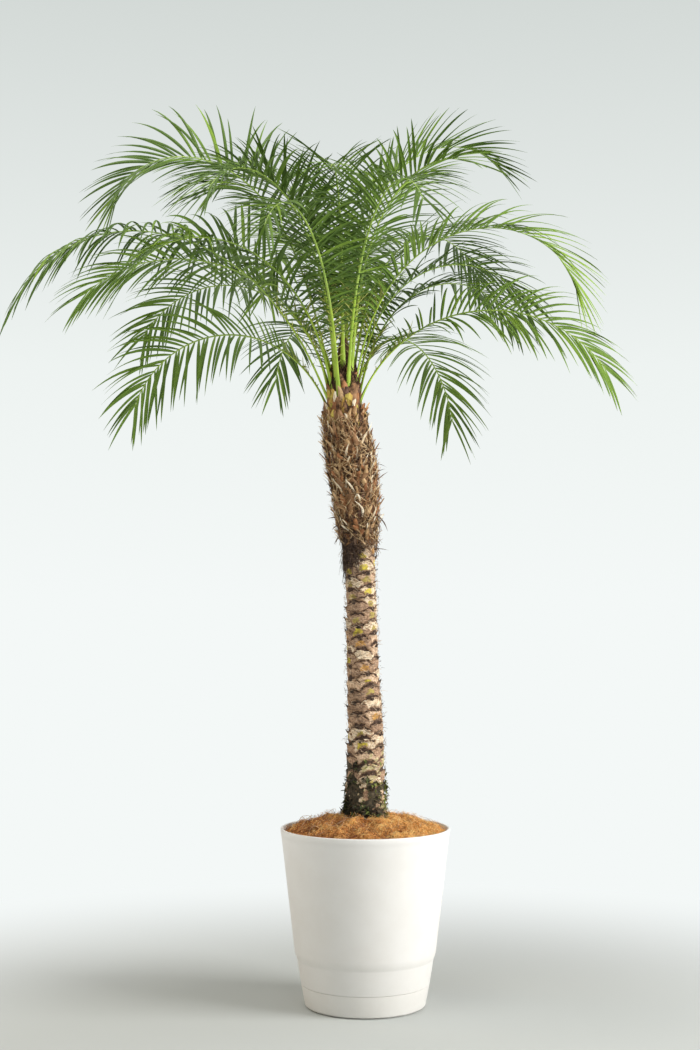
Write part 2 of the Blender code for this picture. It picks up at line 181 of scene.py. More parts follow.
world = bpy.data.worlds.new("studio")
world.use_nodes = True
bpy.context.scene.world = world
tree = world.node_tree
seen = tree.nodes["Background"]
way = add_node(tree, "ShaderNodeTexCoord")
split = add_node(tree, "ShaderNodeSeparateXYZ")
rise = add_node(tree, "ShaderNodeMapRange", {"From Min": 0.0, "From Max": SKY_RISE})
lighting = add_node(tree, "ShaderNodeBackground", {"Color": SKY_TINT, "Strength": SKY_LIGHT})
path = add_node(tree, "ShaderNodeLightPath")
either = add_node(tree, "ShaderNodeMixShader")
wire(
    tree,
    (way.outputs["Generated"], split.inputs["Vector"]),
    (split.outputs["Z"], rise.inputs["Value"]),
    (fade(tree, rise.outputs["Result"], SKY_STOPS), seen.inputs["Color"]),
    (path.outputs["Is Camera Ray"], either.inputs["Fac"]),
    (lighting.outputs["Background"], either.inputs[1]),
    (seen.outputs["Background"], either.inputs[2]),
    (either.outputs["Shader"], tree.nodes["World Output"].inputs["Surface"]),
)
bpy.context.scene.view_settings.view_transform = "Standard"
print("sky light:", SKY_LIGHT)

# %% Lamps
LAMPS = (
    # name, place, target, size in metres, power in watts, colour
    ("key_lamp", (3.1, -1.2, 1.9), (0.0, 0.0, 0.8), 1.9, 150, (1.0, 0.99, 0.98)),
    ("warm_lamp", (-2.8, 0.6, 1.2), (0.0, 0.0, 0.7), 1.2, 15, (1.0, 0.78, 0.52)),
    ("top_lamp", (-0.8, -0.6, 3.6), (0.0, 0.0, 1.3), 1.6, 50, (1.0, 1.0, 0.96)),
)
for name, place, target, size, power, colour in LAMPS:
    light = bpy.data.lights.new(name, "AREA")
    light.size = size
    light.energy = power
    light.color = colour
    lamp = into_scene(name, light)
    lamp.location = place
    lamp.rotation_euler = (Vector(place) - Vector(target)).to_track_quat("Z", "Y").to_euler()
print("lamps:", ", ".join(lamp[0] for lamp in LAMPS))

# %% [markdown]
# ## Two effects that many finishes share
# Bark, fibre, leaf and plastic all vary in patches and all have a fine grain. Each effect is a node
# group that is built once and placed in every material with its own values: mottling mixes two
# colours in soft patches, and grain gives a height for the bump, drawn out along the height of the
# plant where the material is fibrous. Both read object coordinates, which are plain metres here.

# %% An empty node group with named sockets
FLOAT = "NodeSocketFloat"
COLOUR = "NodeSocketColor"


def start_group(name, inputs, outputs):
    """The group, its input node and its output node."""
    group = bpy.data.node_groups.new(name, "ShaderNodeTree")
    for socket, kind in inputs:
        group.interface.new_socket(socket, in_out="INPUT", socket_type=kind)
    for socket, kind in outputs:
        group.interface.new_socket(socket, in_out="OUTPUT", socket_type=kind)
    return group, group.nodes.new("NodeGroupInput"), group.nodes.new("NodeGroupOutput")


print("kinds of socket:", FLOAT, COLOUR)

# %% Mottling: two colours in soft patches
mottling, given, made = start_group(
    "mottling",
    [("Patches per metre", FLOAT), ("Ground", COLOUR), ("Patch", COLOUR), ("Softness", FLOAT)],
    [("Colour", COLOUR), ("Mask", FLOAT)],
)
where = add_node(mottling, "ShaderNodeTexCoord")
cloud = add_node(mottling, "ShaderNodeTexNoise", {"Detail": 5.0, "Roughness": 0.6})
low = add_node(mottling, "ShaderNodeMath", {0: 0.5}, operation="SUBTRACT")
high = add_node(mottling, "ShaderNodeMath", {0: 0.5}, operation="ADD")
edge = add_node(mottling, "ShaderNodeMapRange", interpolation_type="SMOOTHSTEP")
blend = add_node(mottling, "ShaderNodeMix", data_type="RGBA")
wire(
    mottling,
    (where.outputs["Object"], cloud.inputs["Vector"]),
    (given.outputs["Patches per metre"], cloud.inputs["Scale"]),
    (given.outputs["Softness"], low.inputs[1]),
    (given.outputs["Softness"], high.inputs[1]),
    (cloud.outputs["Fac"], edge.inputs["Value"]),
    (low.outputs["Value"], edge.inputs["From Min"]),
    (high.outputs["Value"], edge.inputs["From Max"]),
    (edge.outputs["Result"], blend.inputs[0]),
    (given.outputs["Ground"], blend.inputs[6]),
    (given.outputs["Patch"], blend.inputs[7]),
    (blend.outputs[2], made.inputs["Colour"]),
    (edge.outputs["Result"], made.inputs["Mask"]),
)
print("mottling:", [socket.name for socket in mottling.interface.items_tree])

# %% Grain: a fine height, drawn out where the squash is below 1
grain, given, made = start_group(
    "grain",
    [("Grains per metre", FLOAT), ("Squash", FLOAT)],
    [("Height", FLOAT)],
)
where = add_node(grain, "ShaderNodeTexCoord")
squash = add_node(grain, "ShaderNodeCombineXYZ", {"X": 1.0, "Y": 1.0})
drawn = add_node(grain, "ShaderNodeVectorMath", operation="MULTIPLY")
specks = add_node(grain, "ShaderNodeTexNoise", {"Detail": 3.0, "Roughness": 0.55})
wire(
    grain,
    (given.outputs["Squash"], squash.inputs["Z"]),
    (where.outputs["Object"], drawn.inputs[0]),
    (squash.outputs["Vector"], drawn.inputs[1]),
    (drawn.outputs["Vector"], specks.inputs["Vector"]),
    (given.outputs["Grains per metre"], specks.inputs["Scale"]),
    (specks.outputs["Fac"], made.inputs["Height"]),
)
print("grain:", [socket.name for socket in grain.interface.items_tree])

# %% A finish from the two groups
def finish(
    name, ground, patch, patches, roughness, grains, squash, depth, softness=0.12, shine=0.5
):
    """A material: mottled colour, roughness between two values, and grain as a bump."""
    material = bpy.data.materials.new(name)
    material.use_nodes = True
    tree = material.node_tree
    shader = tree.nodes["Principled BSDF"]
    shader.inputs["Specular IOR Level"].default_value = shine
    patchy = {"Patches per metre": patches, "Ground": ground, "Patch": patch, "Softness": softness}
    grainy = {"Grains per metre": grains, "Squash": squash}
    spots = add_node(tree, "ShaderNodeGroup", patchy, node_tree=mottling)
    fine = add_node(tree, "ShaderNodeGroup", grainy, node_tree=grain)
    dull = add_node(tree, "ShaderNodeMapRange", {"To Min": roughness[0], "To Max": roughness[1]})
    bump = add_node(tree, "ShaderNodeBump", {"Strength": 1.0, "Distance": depth})
    wire(
        tree,
        (spots.outputs["Colour"], shader.inputs["Base Color"]),
        (spots.outputs["Mask"], dull.inputs["Value"]),
        (dull.outputs["Result"], shader.inputs["Roughness"]),
        (fine.outputs["Height"], bump.inputs["Height"]),
        (bump.outputs["Normal"], shader.inputs["Normal"]),
    )
    return material


def dress(piece, slot, *nodes):
    """The piece rides with the plant and stands for its solids. The slot is not used."""
    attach(piece, "root")
    if nodes:
        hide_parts(*nodes)


# %% [markdown]
# ## The pot and its saucer
# The pot is injection-moulded plastic with a matt white skin: a tapered shell with a rolled lip,
# a foot that is a step narrower, and a saucer of the same stuff flush under it. It could be put
# together from cones with bevels between them. A profile turned about the axis is simpler, and it
# keeps the whole shape in one short table. The corners of a moulding are never sharp. Each one is
# rounded in the profile, before it is turned, because a small radius is what catches the light.
# The shell swells softly over the step, and the saucer's foot is set back, which leaves the thin
# dark line where it meets the floor.

# %% Sizes of the pot, as in the solids
POT_HEIGHT = 0.348
POT_RIM_RADIUS = 0.168
POT_WALL = 0.005
SHOULDER_HEIGHT = 0.092
SHOULDER_RADIUS = 0.138
SHOULDER_STEP = 0.003
BULGE_HEIGHT = SHOULDER_HEIGHT + 0.011
SAUCER_HEIGHT = 0.044
SAUCER_RADIUS = 0.127
SAUCER_FOOT_RADIUS = 0.119
SAUCER_WALL = 0.004
SEAM = 0.0006
HIDDEN_FLOOR = 0.30    # the shell is closed here, out of sight below the fibre
print("pot:", round(2000 * POT_RIM_RADIUS), "mm across the rim")

# %% Values between given points
def ramp(x, points):
    """Straight-line value at x between (x, value) points."""
    if x <= points[0][0]:
        return points[0][1]
    for (x0, y0), (x1, y1) in zip(points, points[1:]):
        if x <= x1:
            return y0 + (y1 - y0) * (x - x0) / (x1 - x0)
    return points[-1][1]


def ramp_array(values, points):
    """The same for a whole array."""
    return np.interp(values, [point[0] for point in points], [point[1] for point in points])


def pot_outer_radius(height):
    """Radius of the shell above its step."""
    return ramp(height, [(SHOULDER_HEIGHT, SHOULDER_RADIUS), (POT_HEIGHT, POT_RIM_RADIUS)])


print("pot at half height:", round(2000 * pot_outer_radius(POT_HEIGHT / 2)), "mm across")

# %% Rounded corners, and a profile turned about the axis
FILLET_STEPS = 6
TURN_STEPS = 192


def rounded(corners):
    """A profile from (radius, height, fillet) corners, each rounded by a short curve."""
    points = []
    for i, (radius, height, fillet) in enumerate(corners):
        here = Vector((radius, height))
        if fillet == 0.0:
            points.append(here)
            continue
        before = (Vector(corners[i - 1][:2]) - here).normalized() * fillet + here
        after = (Vector(corners[i + 1][:2]) - here).normalized() * fillet + here
        for step in range(FILLET_STEPS + 1):
            share = step / FILLET_STEPS
            points.append(before.lerp(here, share).lerp(here.lerp(after, share), share))
    return points


def turned(name, profile, material):
    """The profile turned about the Z axis with the Screw modifier."""
    mesh = bpy.data.meshes.new(name)
    edges = [(i, i + 1) for i in range(len(profile) - 1)]
    mesh.from_pydata([(radius, 0.0, height) for radius, height in profile], edges, [])
    mesh.materials.append(material)
    thing = into_scene(name, mesh)
    screw = thing.modifiers.new("Turn", "SCREW")
    screw.steps = TURN_STEPS
    screw.render_steps = TURN_STEPS
    screw.use_merge_vertices = True
    screw.merge_threshold = 0.00005
    screw.use_smooth_shade = True
    print(f"{name}: {len(profile)} points, turned in {TURN_STEPS} steps")
    return thing


print("points of a rounded corner:", FILLET_STEPS + 1)

# %% The white pot
MOULDED = (1500, 1.0, 0.00012, 0.3)    # grains per metre, squash, depth, softness

pot_white = finish(
    "pot_white", paint(236, 234, 230), paint(231, 228, 223), 14, (0.42, 0.52), *MOULDED
)
lip = POT_WALL / 2
ends = (HIDDEN_FLOOR, POT_HEIGHT - 0.012)
inside = [(pot_outer_radius(height) - POT_WALL, height) for height in ends]
pot_profile = rounded([
    # radius, height, fillet
    (0.0, HIDDEN_FLOOR, 0.0),
    (*inside[0], 0.0),
    (*inside[1], 0.004),
    (POT_RIM_RADIUS - POT_WALL, POT_HEIGHT, lip),
    (POT_RIM_RADIUS, POT_HEIGHT, lip),
    (POT_RIM_RADIUS, POT_HEIGHT - 0.008, 0.004),
    (pot_outer_radius(POT_HEIGHT - 0.016), POT_HEIGHT - 0.016, 0.004),
    (pot_outer_radius(BULGE_HEIGHT), BULGE_HEIGHT, 0.008),
    (SHOULDER_RADIUS - SHOULDER_STEP, SHOULDER_HEIGHT + 0.001, 0.0016),
    (SAUCER_RADIUS, SAUCER_HEIGHT + SEAM, 0.0007),
    (SAUCER_RADIUS - SAUCER_WALL, SAUCER_HEIGHT + SEAM, 0.0),
    (SAUCER_FOOT_RADIUS - SAUCER_WALL - SEAM, SAUCER_WALL + SEAM, 0.0),
    (0.0, SAUCER_WALL + SEAM, 0.0),
])
dress(turned("white_pot", pot_profile, pot_white), "pot_plastic", "pot")

# %% The white saucer
saucer_white = finish(
    "saucer_white", paint(233, 231, 226), paint(227, 224, 218), 18, (0.45, 0.56), *MOULDED
)
saucer_profile = rounded([
    # radius, height, fillet
    (0.0, SAUCER_WALL, 0.0),
    (SAUCER_FOOT_RADIUS - SAUCER_WALL, SAUCER_WALL, 0.0),
    (SAUCER_RADIUS - SAUCER_WALL, SAUCER_HEIGHT, 0.0006),
    (SAUCER_RADIUS, SAUCER_HEIGHT, 0.0007),
    (SAUCER_FOOT_RADIUS, 0.0030, 0.0016),
    (SAUCER_FOOT_RADIUS - 0.0050, 0.0024, 0.0008),
    (SAUCER_FOOT_RADIUS - 0.0056, 0.0, 0.0),
    (0.0, 0.0, 0.0),
])
dress(turned("white_saucer", saucer_profile, saucer_white), "pot_plastic", "saucer")

# %% [markdown]
# ## The potting soil
# The soil is hidden by the fibre above it and keeps its plain solid. It still gets a damp, crumbly
# finish, in case somebody takes the fibre off.

# %% Soil
damp_soil = finish(
    "damp_soil", paint(52, 40, 30), paint(30, 22, 16), 90, (0.75, 0.95), 500, 1.0, 0.002, 0.15
)
for place in frame["nodes"]["potting_soil"].material_slots:
    place.material = damp_soil
print("soil slots:", len(frame["nodes"]["potting_soil"].material_slots))

# %% [markdown]
# ## Sweeps: one way to make every hair, leaflet and leaf base
# Most of this plant is long and thin: fibres, thorns, midribs, leaflets, the bases of old leaves.
# Each is a small outline carried along a line, wider here and thinner there. Curve objects with a
# bevel could do it one by one, and hair particles could scatter them. One array sum for thousands
# of them is quicker, and it leaves one plain joined mesh for each kind, which any program opens.

# %% The sweep
def sweep(lines, across, section, widths):
    """Points and faces of closed bodies: a section carried along each of many lines.

    lines and across are (count, stations, 3), the section is a loop of (aside, above) places,
    anticlockwise seen from the tip, and widths (count, stations) says how large it is there.
    """
    lines = np.asarray(lines, float)
    across = np.asarray(across, float)
    section = np.asarray(section, float)
    count, stations, _ = lines.shape
    corners = len(section)
    along = np.gradient(lines, axis=1)
    along /= np.linalg.norm(along, axis=2, keepdims=True) + 1e-12
    across = across - along * (across * along).sum(axis=2, keepdims=True)
    across /= np.linalg.norm(across, axis=2, keepdims=True) + 1e-12
    above = np.cross(along, across)
    size = np.asarray(widths, float)[:, :, None, None]
    ring = across[:, :, None] * section[:, :1] + above[:, :, None] * section[:, 1:]
    points = (lines[:, :, None] + ring * size).reshape(-1, 3)
    first = (np.arange(count) * stations * corners)[:, None, None]
    row = (np.arange(stations - 1) * corners)[None, :, None]
    one = np.arange(corners)[None, None, :]
    two = (one + 1) % corners
    sides = [first + row + one, first + row + two]
    sides += [sides[1] + corners, sides[0] + corners]
    quads = np.stack(sides, axis=-1).reshape(-1, 4)
    loop = np.arange(corners)
    start = first[:, 0] + loop[::-1]
    end = first[:, 0] + (stations - 1) * corners + loop
    return points, quads.tolist() + start.tolist() + end.tolist()


TRIANGLE = [(math.cos(a), math.sin(a)) for a in (0.0, 2.094, 4.189)]
ANY_WAY = (0.31, 0.17, 0.93)


def hairs(lines, widths, section=TRIANGLE):
    """A sweep of thin things, for which it doesn't matter which way their section faces."""
    along = np.gradient(np.asarray(lines, float), axis=1)
    return sweep(lines, np.cross(along, np.asarray(ANY_WAY)), section, widths)


print("corners of a fibre:", len(TRIANGLE))

# %% A piece from points and faces
def new_piece(name, points, faces, materials, sharp=None, slots=None):
    """A smooth mesh object, sharp above an angle in degrees, with a material for each face."""
    mesh = bpy.data.meshes.new(name)
    mesh.from_pydata(np.asarray(points).tolist(), [], faces)
    for material in materials:
        mesh.materials.append(material)
    if slots is not None:
        mesh.polygons.foreach_set("material_index", np.asarray(slots, dtype=np.int32))
    mesh.shade_smooth()
    if sharp is not None:
        mesh.set_sharp_from_angle(angle=math.radians(sharp))
    mesh.update()
    triangles = sum(len(face) - 2 for face in faces)
    print(f"{name}: {triangles} triangles")
    return into_scene(name, mesh)


def round_grid(rows, spokes):
    """Faces between rows of points that close round the axis, each row above the last."""
    first = np.arange(rows - 1)[:, None] * spokes
    spoke = np.arange(spokes)[None, :]
    beside = (spoke + 1) % spokes
    corners = [first + spoke, first + beside, first + spokes + beside, first + spokes + spoke]
    return np.stack(corners, axis=-1).reshape(-1, 4)


def roughness_at(points, size, seed=0.0):
    """Smooth noise between -1 and 1 at each point, with lumps of about the given size."""
    shift = Vector((seed * 7.31, seed * 3.77, seed * 1.93))
    places = [Vector(point) / size + shift for point in np.asarray(points).reshape(-1, 3)]
    return np.array([noise.noise(place) for place in places])


print("noise at a point:", roughness_at([(0.1, 0.2, 0.3)], 0.07).round(3))

# %% [markdown]
# ## The coconut fibre on the soil
# Growers cover the soil with orange-brown coir: crumbs and curled fibres, heaped a little against
# the trunk. A bumpy bed gives the clumps and their shadows, but alone it would look like soil. So
# thousands of short curled fibres and crumbs lie on it in three colours. The pale ones gather on
# the clumps and on the right, towards the key lamp, as painted light, and the dark ones in the
# hollows and on the left as painted shade. A few long strands lie loose on top.

# %% The height of the coir
MULCH_EDGE = 0.338
MULCH_CROWN = 0.368
MULCH_HOLE = 0.036
MULCH_REACH = pot_outer_radius(MULCH_EDGE) - POT_WALL - 0.0006
CLUMP_SIZE = 0.027


def lumps_at(xy, size, seed):
    """Noise at places on the bed, with lumps of the given size."""
    return roughness_at(np.column_stack([xy, np.zeros(len(xy))]), size, seed)


def clumps_at(xy):
    """The largest lumps, which also decide where painted light and shade fall on the fibres."""
    return lumps_at(xy, CLUMP_SIZE, 1)


def bed_height(xy):
    """Height of the coir at each (x, y): a mound with clumps."""
    xy = np.asarray(xy, float)
    radius = np.linalg.norm(xy, axis=1)
    share = np.clip((radius - MULCH_HOLE) / (MULCH_REACH - MULCH_HOLE), 0.0, 1.0)
    mound = MULCH_EDGE + (MULCH_CROWN - MULCH_EDGE) * np.cos(share * math.pi / 2)
    rough = 0.0100 * clumps_at(xy)
    rough += 0.0036 * lumps_at(xy, 0.010, 2)
    rough += 0.0014 * lumps_at(xy, 0.0035, 3)
    return mound + rough * (1.0 - 0.6 * share ** 6) - 0.003 * share


print("coir reaches out to", round(1000 * MULCH_REACH), "mm")

# %% The bed of coir
BED_RINGS = 80
BED_SPOKES = 300

ring_radii = np.linspace(MULCH_HOLE, MULCH_REACH, BED_RINGS)
spokes = np.linspace(0.0, 2 * math.pi, BED_SPOKES, endpoint=False)
bed_radii, bed_turns = np.meshgrid(ring_radii, spokes, indexing="ij")
flat = np.stack([bed_radii * np.cos(bed_turns), bed_radii * np.sin(bed_turns)], axis=-1)
flat = flat.reshape(-1, 2)
bed_points = np.column_stack([flat, bed_height(flat)])
bed_faces = round_grid(BED_RINGS, BED_SPOKES)[:, [0, 3, 2, 1]]
coir_bed = finish(
    "coir_bed", paint(230, 160, 88), paint(146, 92, 50), 34, (0.85, 0.97), 900, 1.0, 0.0025
)
bed = new_piece("coir_bed", bed_points, bed_faces.tolist(), [coir_bed])
dress(bed, "coir", "coir_mulch")

# %% Curled lines on the bed
LIT_RIGHT = 2.2    # how much more pale fibre lies on the lit right, per metre: painted light


def starts_on_bed(dice, count, lit_pull):
    """Places: clumps and the right as painted light above 0, hollows and the left as painted shade
    below.
    """
    many = 3 * count
    radius = np.sqrt(dice.uniform((MULCH_HOLE + 0.006) ** 2, (MULCH_REACH - 0.004) ** 2, many))
    turn = dice.uniform(0.0, 2 * math.pi, many)
    start = np.column_stack([radius * np.cos(turn), radius * np.sin(turn)])
    # painted light and shade: pale fibre pulled to clumps and the lit right, dark to the hollows
    liking = lit_pull * (clumps_at(start) + LIT_RIGHT * start[:, 0]) + dice.normal(0.0, 0.2, many)
    return start[np.argsort(-liking)[:count]]


def lying_fibres(count, length, thickness, lift, curl, seed, stations=5, lit_pull=0.0):
    """Curled lines that follow the bed. A quarter of them lift their far end."""
    dice = np.random.default_rng(seed)
    start = starts_on_bed(dice, count, lit_pull)
    heading = dice.uniform(0.0, 2 * math.pi, count)
    bend = dice.normal(0.0, curl, count)
    reach = dice.uniform(*length, count)
    xy = [start]
    for step in range(stations - 1):
        way = heading + bend * step / stations
        stride = (reach / stations)[:, None]
        xy.append(xy[-1] + np.column_stack([np.cos(way), np.sin(way)]) * stride)
    xy = np.stack(xy, axis=1)
    far = np.linalg.norm(xy, axis=2, keepdims=True)
    xy *= np.minimum(1.0, (MULCH_REACH - 0.003) / far)
    xy *= np.maximum(1.0, (MULCH_HOLE + 0.004) / np.maximum(far, 0.001))
    height = bed_height(xy.reshape(-1, 2)).reshape(count, stations)
    along = np.linspace(0.0, 1.0, stations)[None, :]
    up = dice.uniform(0.0, lift, count)[:, None] * np.sin(along * math.pi)
    lifted = (dice.uniform(size=count) < 0.25)[:, None]
    tip = lifted * dice.uniform(0.0, 2.5 * lift, count)[:, None]
    lines = np.dstack([xy, height + up + tip * along ** 2 + 0.0004])
    taper = ramp_array(along, [(0, 0.5), (0.3, 1), (0.8, 0.9), (1, 0.3)])
    return lines, dice.uniform(*thickness, count)[:, None] * taper


bed_area = math.pi * (MULCH_REACH ** 2 - MULCH_HOLE ** 2)
print("bed for the fibres:", round(10000 * bed_area), "square centimetres")

# %% Fibres and crumbs in three colours, laid out as painted light and shade
coir_shades = (
    # name, ground, patch, count, lit pull: painted light above 0, painted shade below
    ("coir_orange", paint(255, 194, 106), paint(222, 150, 78), 4200, 0.3),
    ("coir_tan", paint(255, 228, 154), paint(252, 198, 122), 2400, 0.9),
    ("coir_brown", paint(186, 118, 68), paint(124, 76, 46), 2500, -0.9),
)
for index, (name, ground, patch, count, lit_pull) in enumerate(coir_shades):
    shade = finish(name, ground, patch, 42, (0.7, 0.9), 2500, 1.0, 0.0002)
    fibres = lying_fibres(
        count, length=(0.012, 0.034), thickness=(0.00018, 0.00040), lift=0.0055, curl=2.2,
        seed=20 + index, lit_pull=lit_pull,
    )
    dress(new_piece(f"{name}_fibres", *hairs(*fibres), [shade]), "coir")
    crumbs = lying_fibres(
        count // 7, length=(0.002, 0.005), thickness=(0.0009, 0.0018), lift=0.002, curl=2.5,
        seed=30 + index, stations=3, lit_pull=lit_pull,
    )
    dress(new_piece(f"{name}_crumbs", *hairs(*crumbs), [shade], 30), "coir")

# %% A few long loose strands
strands = lying_fibres(
    70, length=(0.05, 0.10), thickness=(0.00025, 0.00045), lift=0.018, curl=2.2,
    seed=41, stations=9,
)
pale_strand = finish(
    "pale_strand", paint(214, 190, 156), paint(170, 130, 90), 60, (0.6, 0.8), 2500, 1.0, 0.0002
)
dress(new_piece("loose_strands", *hairs(*strands), [pale_strand]), "coir")

# %% [markdown]
# ## The trunk
# A pygmy date palm keeps the stubs of its old leaves. Low down they have worn to rows of pinkish
# tan pads. Many have a yellow, orange or olive heart, and most have an arc of dark torn fibre over
# them, deepened by painted shade in the crevice there, and a dark pointed tip. The foot is dark
# with moss. The pads could be sculpted, or laid on one by one like scales. Here the bark is one
# fine grid that follows the centreline and the radii of the solid, because a grid takes relief and
# colours by one rule. Each pad swells towards its upper edge and ends there in a lip, and every
# face is dealt to one of eleven finishes by where it lies on its pad. That keeps the colours in
# place without any picture. On the left, away from the key lamp, the pads are dealt browner as
# painted shade.

# %% Line and radius of the stem, as in the solids
TRUNK_RINGS = (
    # height, how far it leans to the right, radius
    (0.3163, 0.000, 0.046),
    (0.345, 0.000, 0.043),
    (0.430, 0.000, 0.039),
    (0.530, 0.001, 0.035),
    (0.700, -0.006, 0.031),
    (0.900, -0.010, 0.029),
    (0.950, -0.015, 0.036),
    (1.010, -0.019, 0.042),
    (1.060, -0.026, 0.046),
    (1.110, -0.033, 0.045),
    (1.160, -0.041, 0.040),
    (1.200, -0.043, 0.034),
    (1.240, -0.043, 0.026),
    (1.290, -0.043, 0.016),
    (1.330, -0.043, 0.007),
)
ring_heights, ring_leans, ring_sizes = np.array(TRUNK_RINGS).T


def trunk_centre(height):
    """How far the stem's middle is off the axis."""
    return np.interp(height, ring_heights, ring_leans)


def trunk_radius(height):
    """Radius of the stem."""
    return np.interp(height, ring_heights, ring_sizes)


def on_trunk(turn, height, lift):
    """Points at an angle and a height, a given distance off the stem."""
    reach = trunk_radius(height) + lift
    x = trunk_centre(height) + reach * np.cos(turn)
    return np.stack([x, reach * np.sin(turn), height], axis=-1)


print("stem:", ring_heights[0], "to", ring_heights[-1], "m")

# %% Where the worn leaf bases sit: four to each one of the solid's spiral
PADS_PER_PEG = 4
PAD_FIRST = 0.425
PAD_RISE = 0.019 / PADS_PER_PEG
PAD_TURN = math.radians((137.5 + 2 * 360) / PADS_PER_PEG)
PAD_BOTTOM = 0.325
PAD_TOP = 0.955

below = int((PAD_FIRST - PAD_BOTTOM) / PAD_RISE)
above = int((PAD_TOP - PAD_FIRST) / PAD_RISE)
pad_numbers = np.arange(-below, above)
pad_heights = PAD_FIRST + PAD_RISE * pad_numbers
pad_turns = pad_numbers * PAD_TURN
print("pads:", len(pad_numbers))

# %% A grid round the stem, finer where the bark is bare
BARE_ROWS = 480
CLAD_ROWS = 60
BARK_SPOKES = 176
GRID_FOOT = 0.318
CLAD_FROM = 0.935
GRID_TOP = 1.325

bare_rows = np.linspace(GRID_FOOT, CLAD_FROM, BARE_ROWS, endpoint=False)
heights = np.concatenate([bare_rows, np.linspace(CLAD_FROM, GRID_TOP, CLAD_ROWS)])
turns = np.linspace(0.0, 2 * math.pi, BARK_SPOKES, endpoint=False)
grid_heights, grid_turns = np.meshgrid(heights, turns, indexing="ij")
smooth = on_trunk(grid_turns, grid_heights, np.zeros_like(grid_heights)).reshape(-1, 3)
EVEN = (1.0, 1.0, 1.0)


def grain_at(stretch, size, seed):
    """Noise on the grid, with the grid stretched first to draw the lumps out."""
    return roughness_at(smooth * np.array(stretch), size, seed).reshape(grid_heights.shape)


wobble = 0.22 * grain_at(EVEN, 0.007, 9)
frayed = grain_at((0.5, 0.5, 1.6), 0.0045, 11)
print("grid:", grid_heights.shape)

# %% How a pad is shaped and toned
PAD_HALF_WIDTH = 0.0285
PAD_HALF_HEIGHT = 0.0145
PAD_SWELL = 0.0034
ARC_HALF_WIDTH = 0.92

dice = np.random.default_rng(7)


def pad_places(height, turn):
    """The rows that a pad lies on, and where each point is on it, aside and up."""
    rows = np.abs(heights - height) < 2 * PAD_HALF_HEIGHT
    away = (grid_turns[rows] - turn + math.pi) % (2 * math.pi) - math.pi
    aside = away * trunk_radius(height) / (PAD_HALF_WIDTH * dice.uniform(0.85, 1.1))
    up = (grid_heights[rows] - height) / (PAD_HALF_HEIGHT * dice.uniform(0.9, 1.15))
    return rows, aside, up + dice.normal(0.0, 0.18) * aside + wobble[rows]


def tone_shares(turn, young):
    """Shares of tan, rosy and mauve pads: paler high up, browner on the left as painted shade."""
    # painted shade: the left side, away from the key lamp, gets more mauve and fewer tan pads
    painted_shade_left = 0.12 * (1.0 - math.cos(turn))
    tan_share = 0.40 + 0.40 * young - 1.2 * painted_shade_left
    mauve_share = 0.24 - 0.20 * young + painted_shade_left * (1.7 - 0.9 * young)
    return tan_share, 1.0 - tan_share - mauve_share, mauve_share


def heart_shares(young):
    """Shares of yellow, orange and olive hearts."""
    kinds = np.array([0.20 + 0.45 * young, 0.45 - 0.25 * young, 0.35 - 0.10 * young])
    return kinds / kinds.sum()


print("tones at the foot, on the left:", [round(s, 2) for s in tone_shares(math.pi, 0.0)])

# %% Pads, their hearts, and the dark arc over each: torn fibre, with painted shade in the crevice
relief = np.zeros_like(grid_heights)
tone = np.zeros_like(grid_heights, dtype=int)
heart = np.zeros_like(grid_heights, dtype=int)
arcs = []
for height, turn in zip(pad_heights, pad_turns):
    rows, aside, up = pad_places(height, turn)
    top = 0.84 - 0.60 * aside ** 2
    bottom = -1.0 + 0.45 * aside ** 2
    grown = np.clip((up - bottom) / np.maximum(top - bottom, 0.05), 0.0, 1.0) ** 0.8
    inside = (up < top) & (up > bottom) & (np.abs(aside) < 1.0)
    swell = PAD_SWELL * dice.uniform(0.6, 1.1)
    raised = np.where(inside, swell * (0.12 + 0.88 * grown), 0.0)
    on_top = raised > relief[rows]
    relief[rows] = np.maximum(relief[rows], raised)
    young = float(np.clip((height - 0.60) / 0.28, 0.0, 1.0))
    tone[rows] = np.where(on_top, dice.choice(3, p=tone_shares(turn, young)), tone[rows])
    from_middle = (aside / 0.33) ** 2 + ((up + 0.12) / 0.54) ** 2 + 0.9 * frayed[rows]
    spot = from_middle < dice.uniform(0.5, 1.4)
    if dice.uniform() < 0.26 + 0.5 * young:
        own_heart = 1 + dice.choice(3, p=heart_shares(young))
        heart[rows] = np.where(inside & spot & on_top, own_heart, heart[rows])
    # the arc over the lip: dark torn fibre, with painted shade of the crevice
    arc = (1.0 - (aside / ARC_HALF_WIDTH) ** 2) * dice.uniform(0.22, 0.62 - 0.30 * young)
    over = up - top
    fringe = (over > -0.22) & (over < arc + 0.20) & (arc > 0.0)
    gap = (over > -0.08) & (over < arc + 0.14 * frayed[rows]) & (arc > 0.02)
    arcs.append((rows, swell, fringe, gap))
print("relief of the pads:", round(relief.max() * 1000, 1), "mm")

# %% Arcs show where no higher pad lies over them
CREVICE_DEPTH = 0.0014

fringes = np.zeros_like(grid_heights, dtype=bool)
# the darkest part of each arc: torn fibre and painted shade
gaps = np.zeros_like(grid_heights, dtype=bool)
for rows, swell, fringe, gap in arcs:
    bare = relief[rows] < 0.92 * swell
    fringes[rows] |= fringe & (bare | (frayed[rows] > 0.15))
    gaps[rows] |= gap & bare & (frayed[rows] > -0.42)
relief -= CREVICE_DEPTH * gaps
ragged_edge = 0.905 + 0.032 * np.cos(grid_turns) + 0.026 * grain_at(EVEN, 0.025, 10)
upper = np.clip((grid_heights - ragged_edge) / 0.012, 0.0, 1.0)
relief *= 1.0 - upper
print("share in the arcs:", round(float(gaps.mean()), 3))

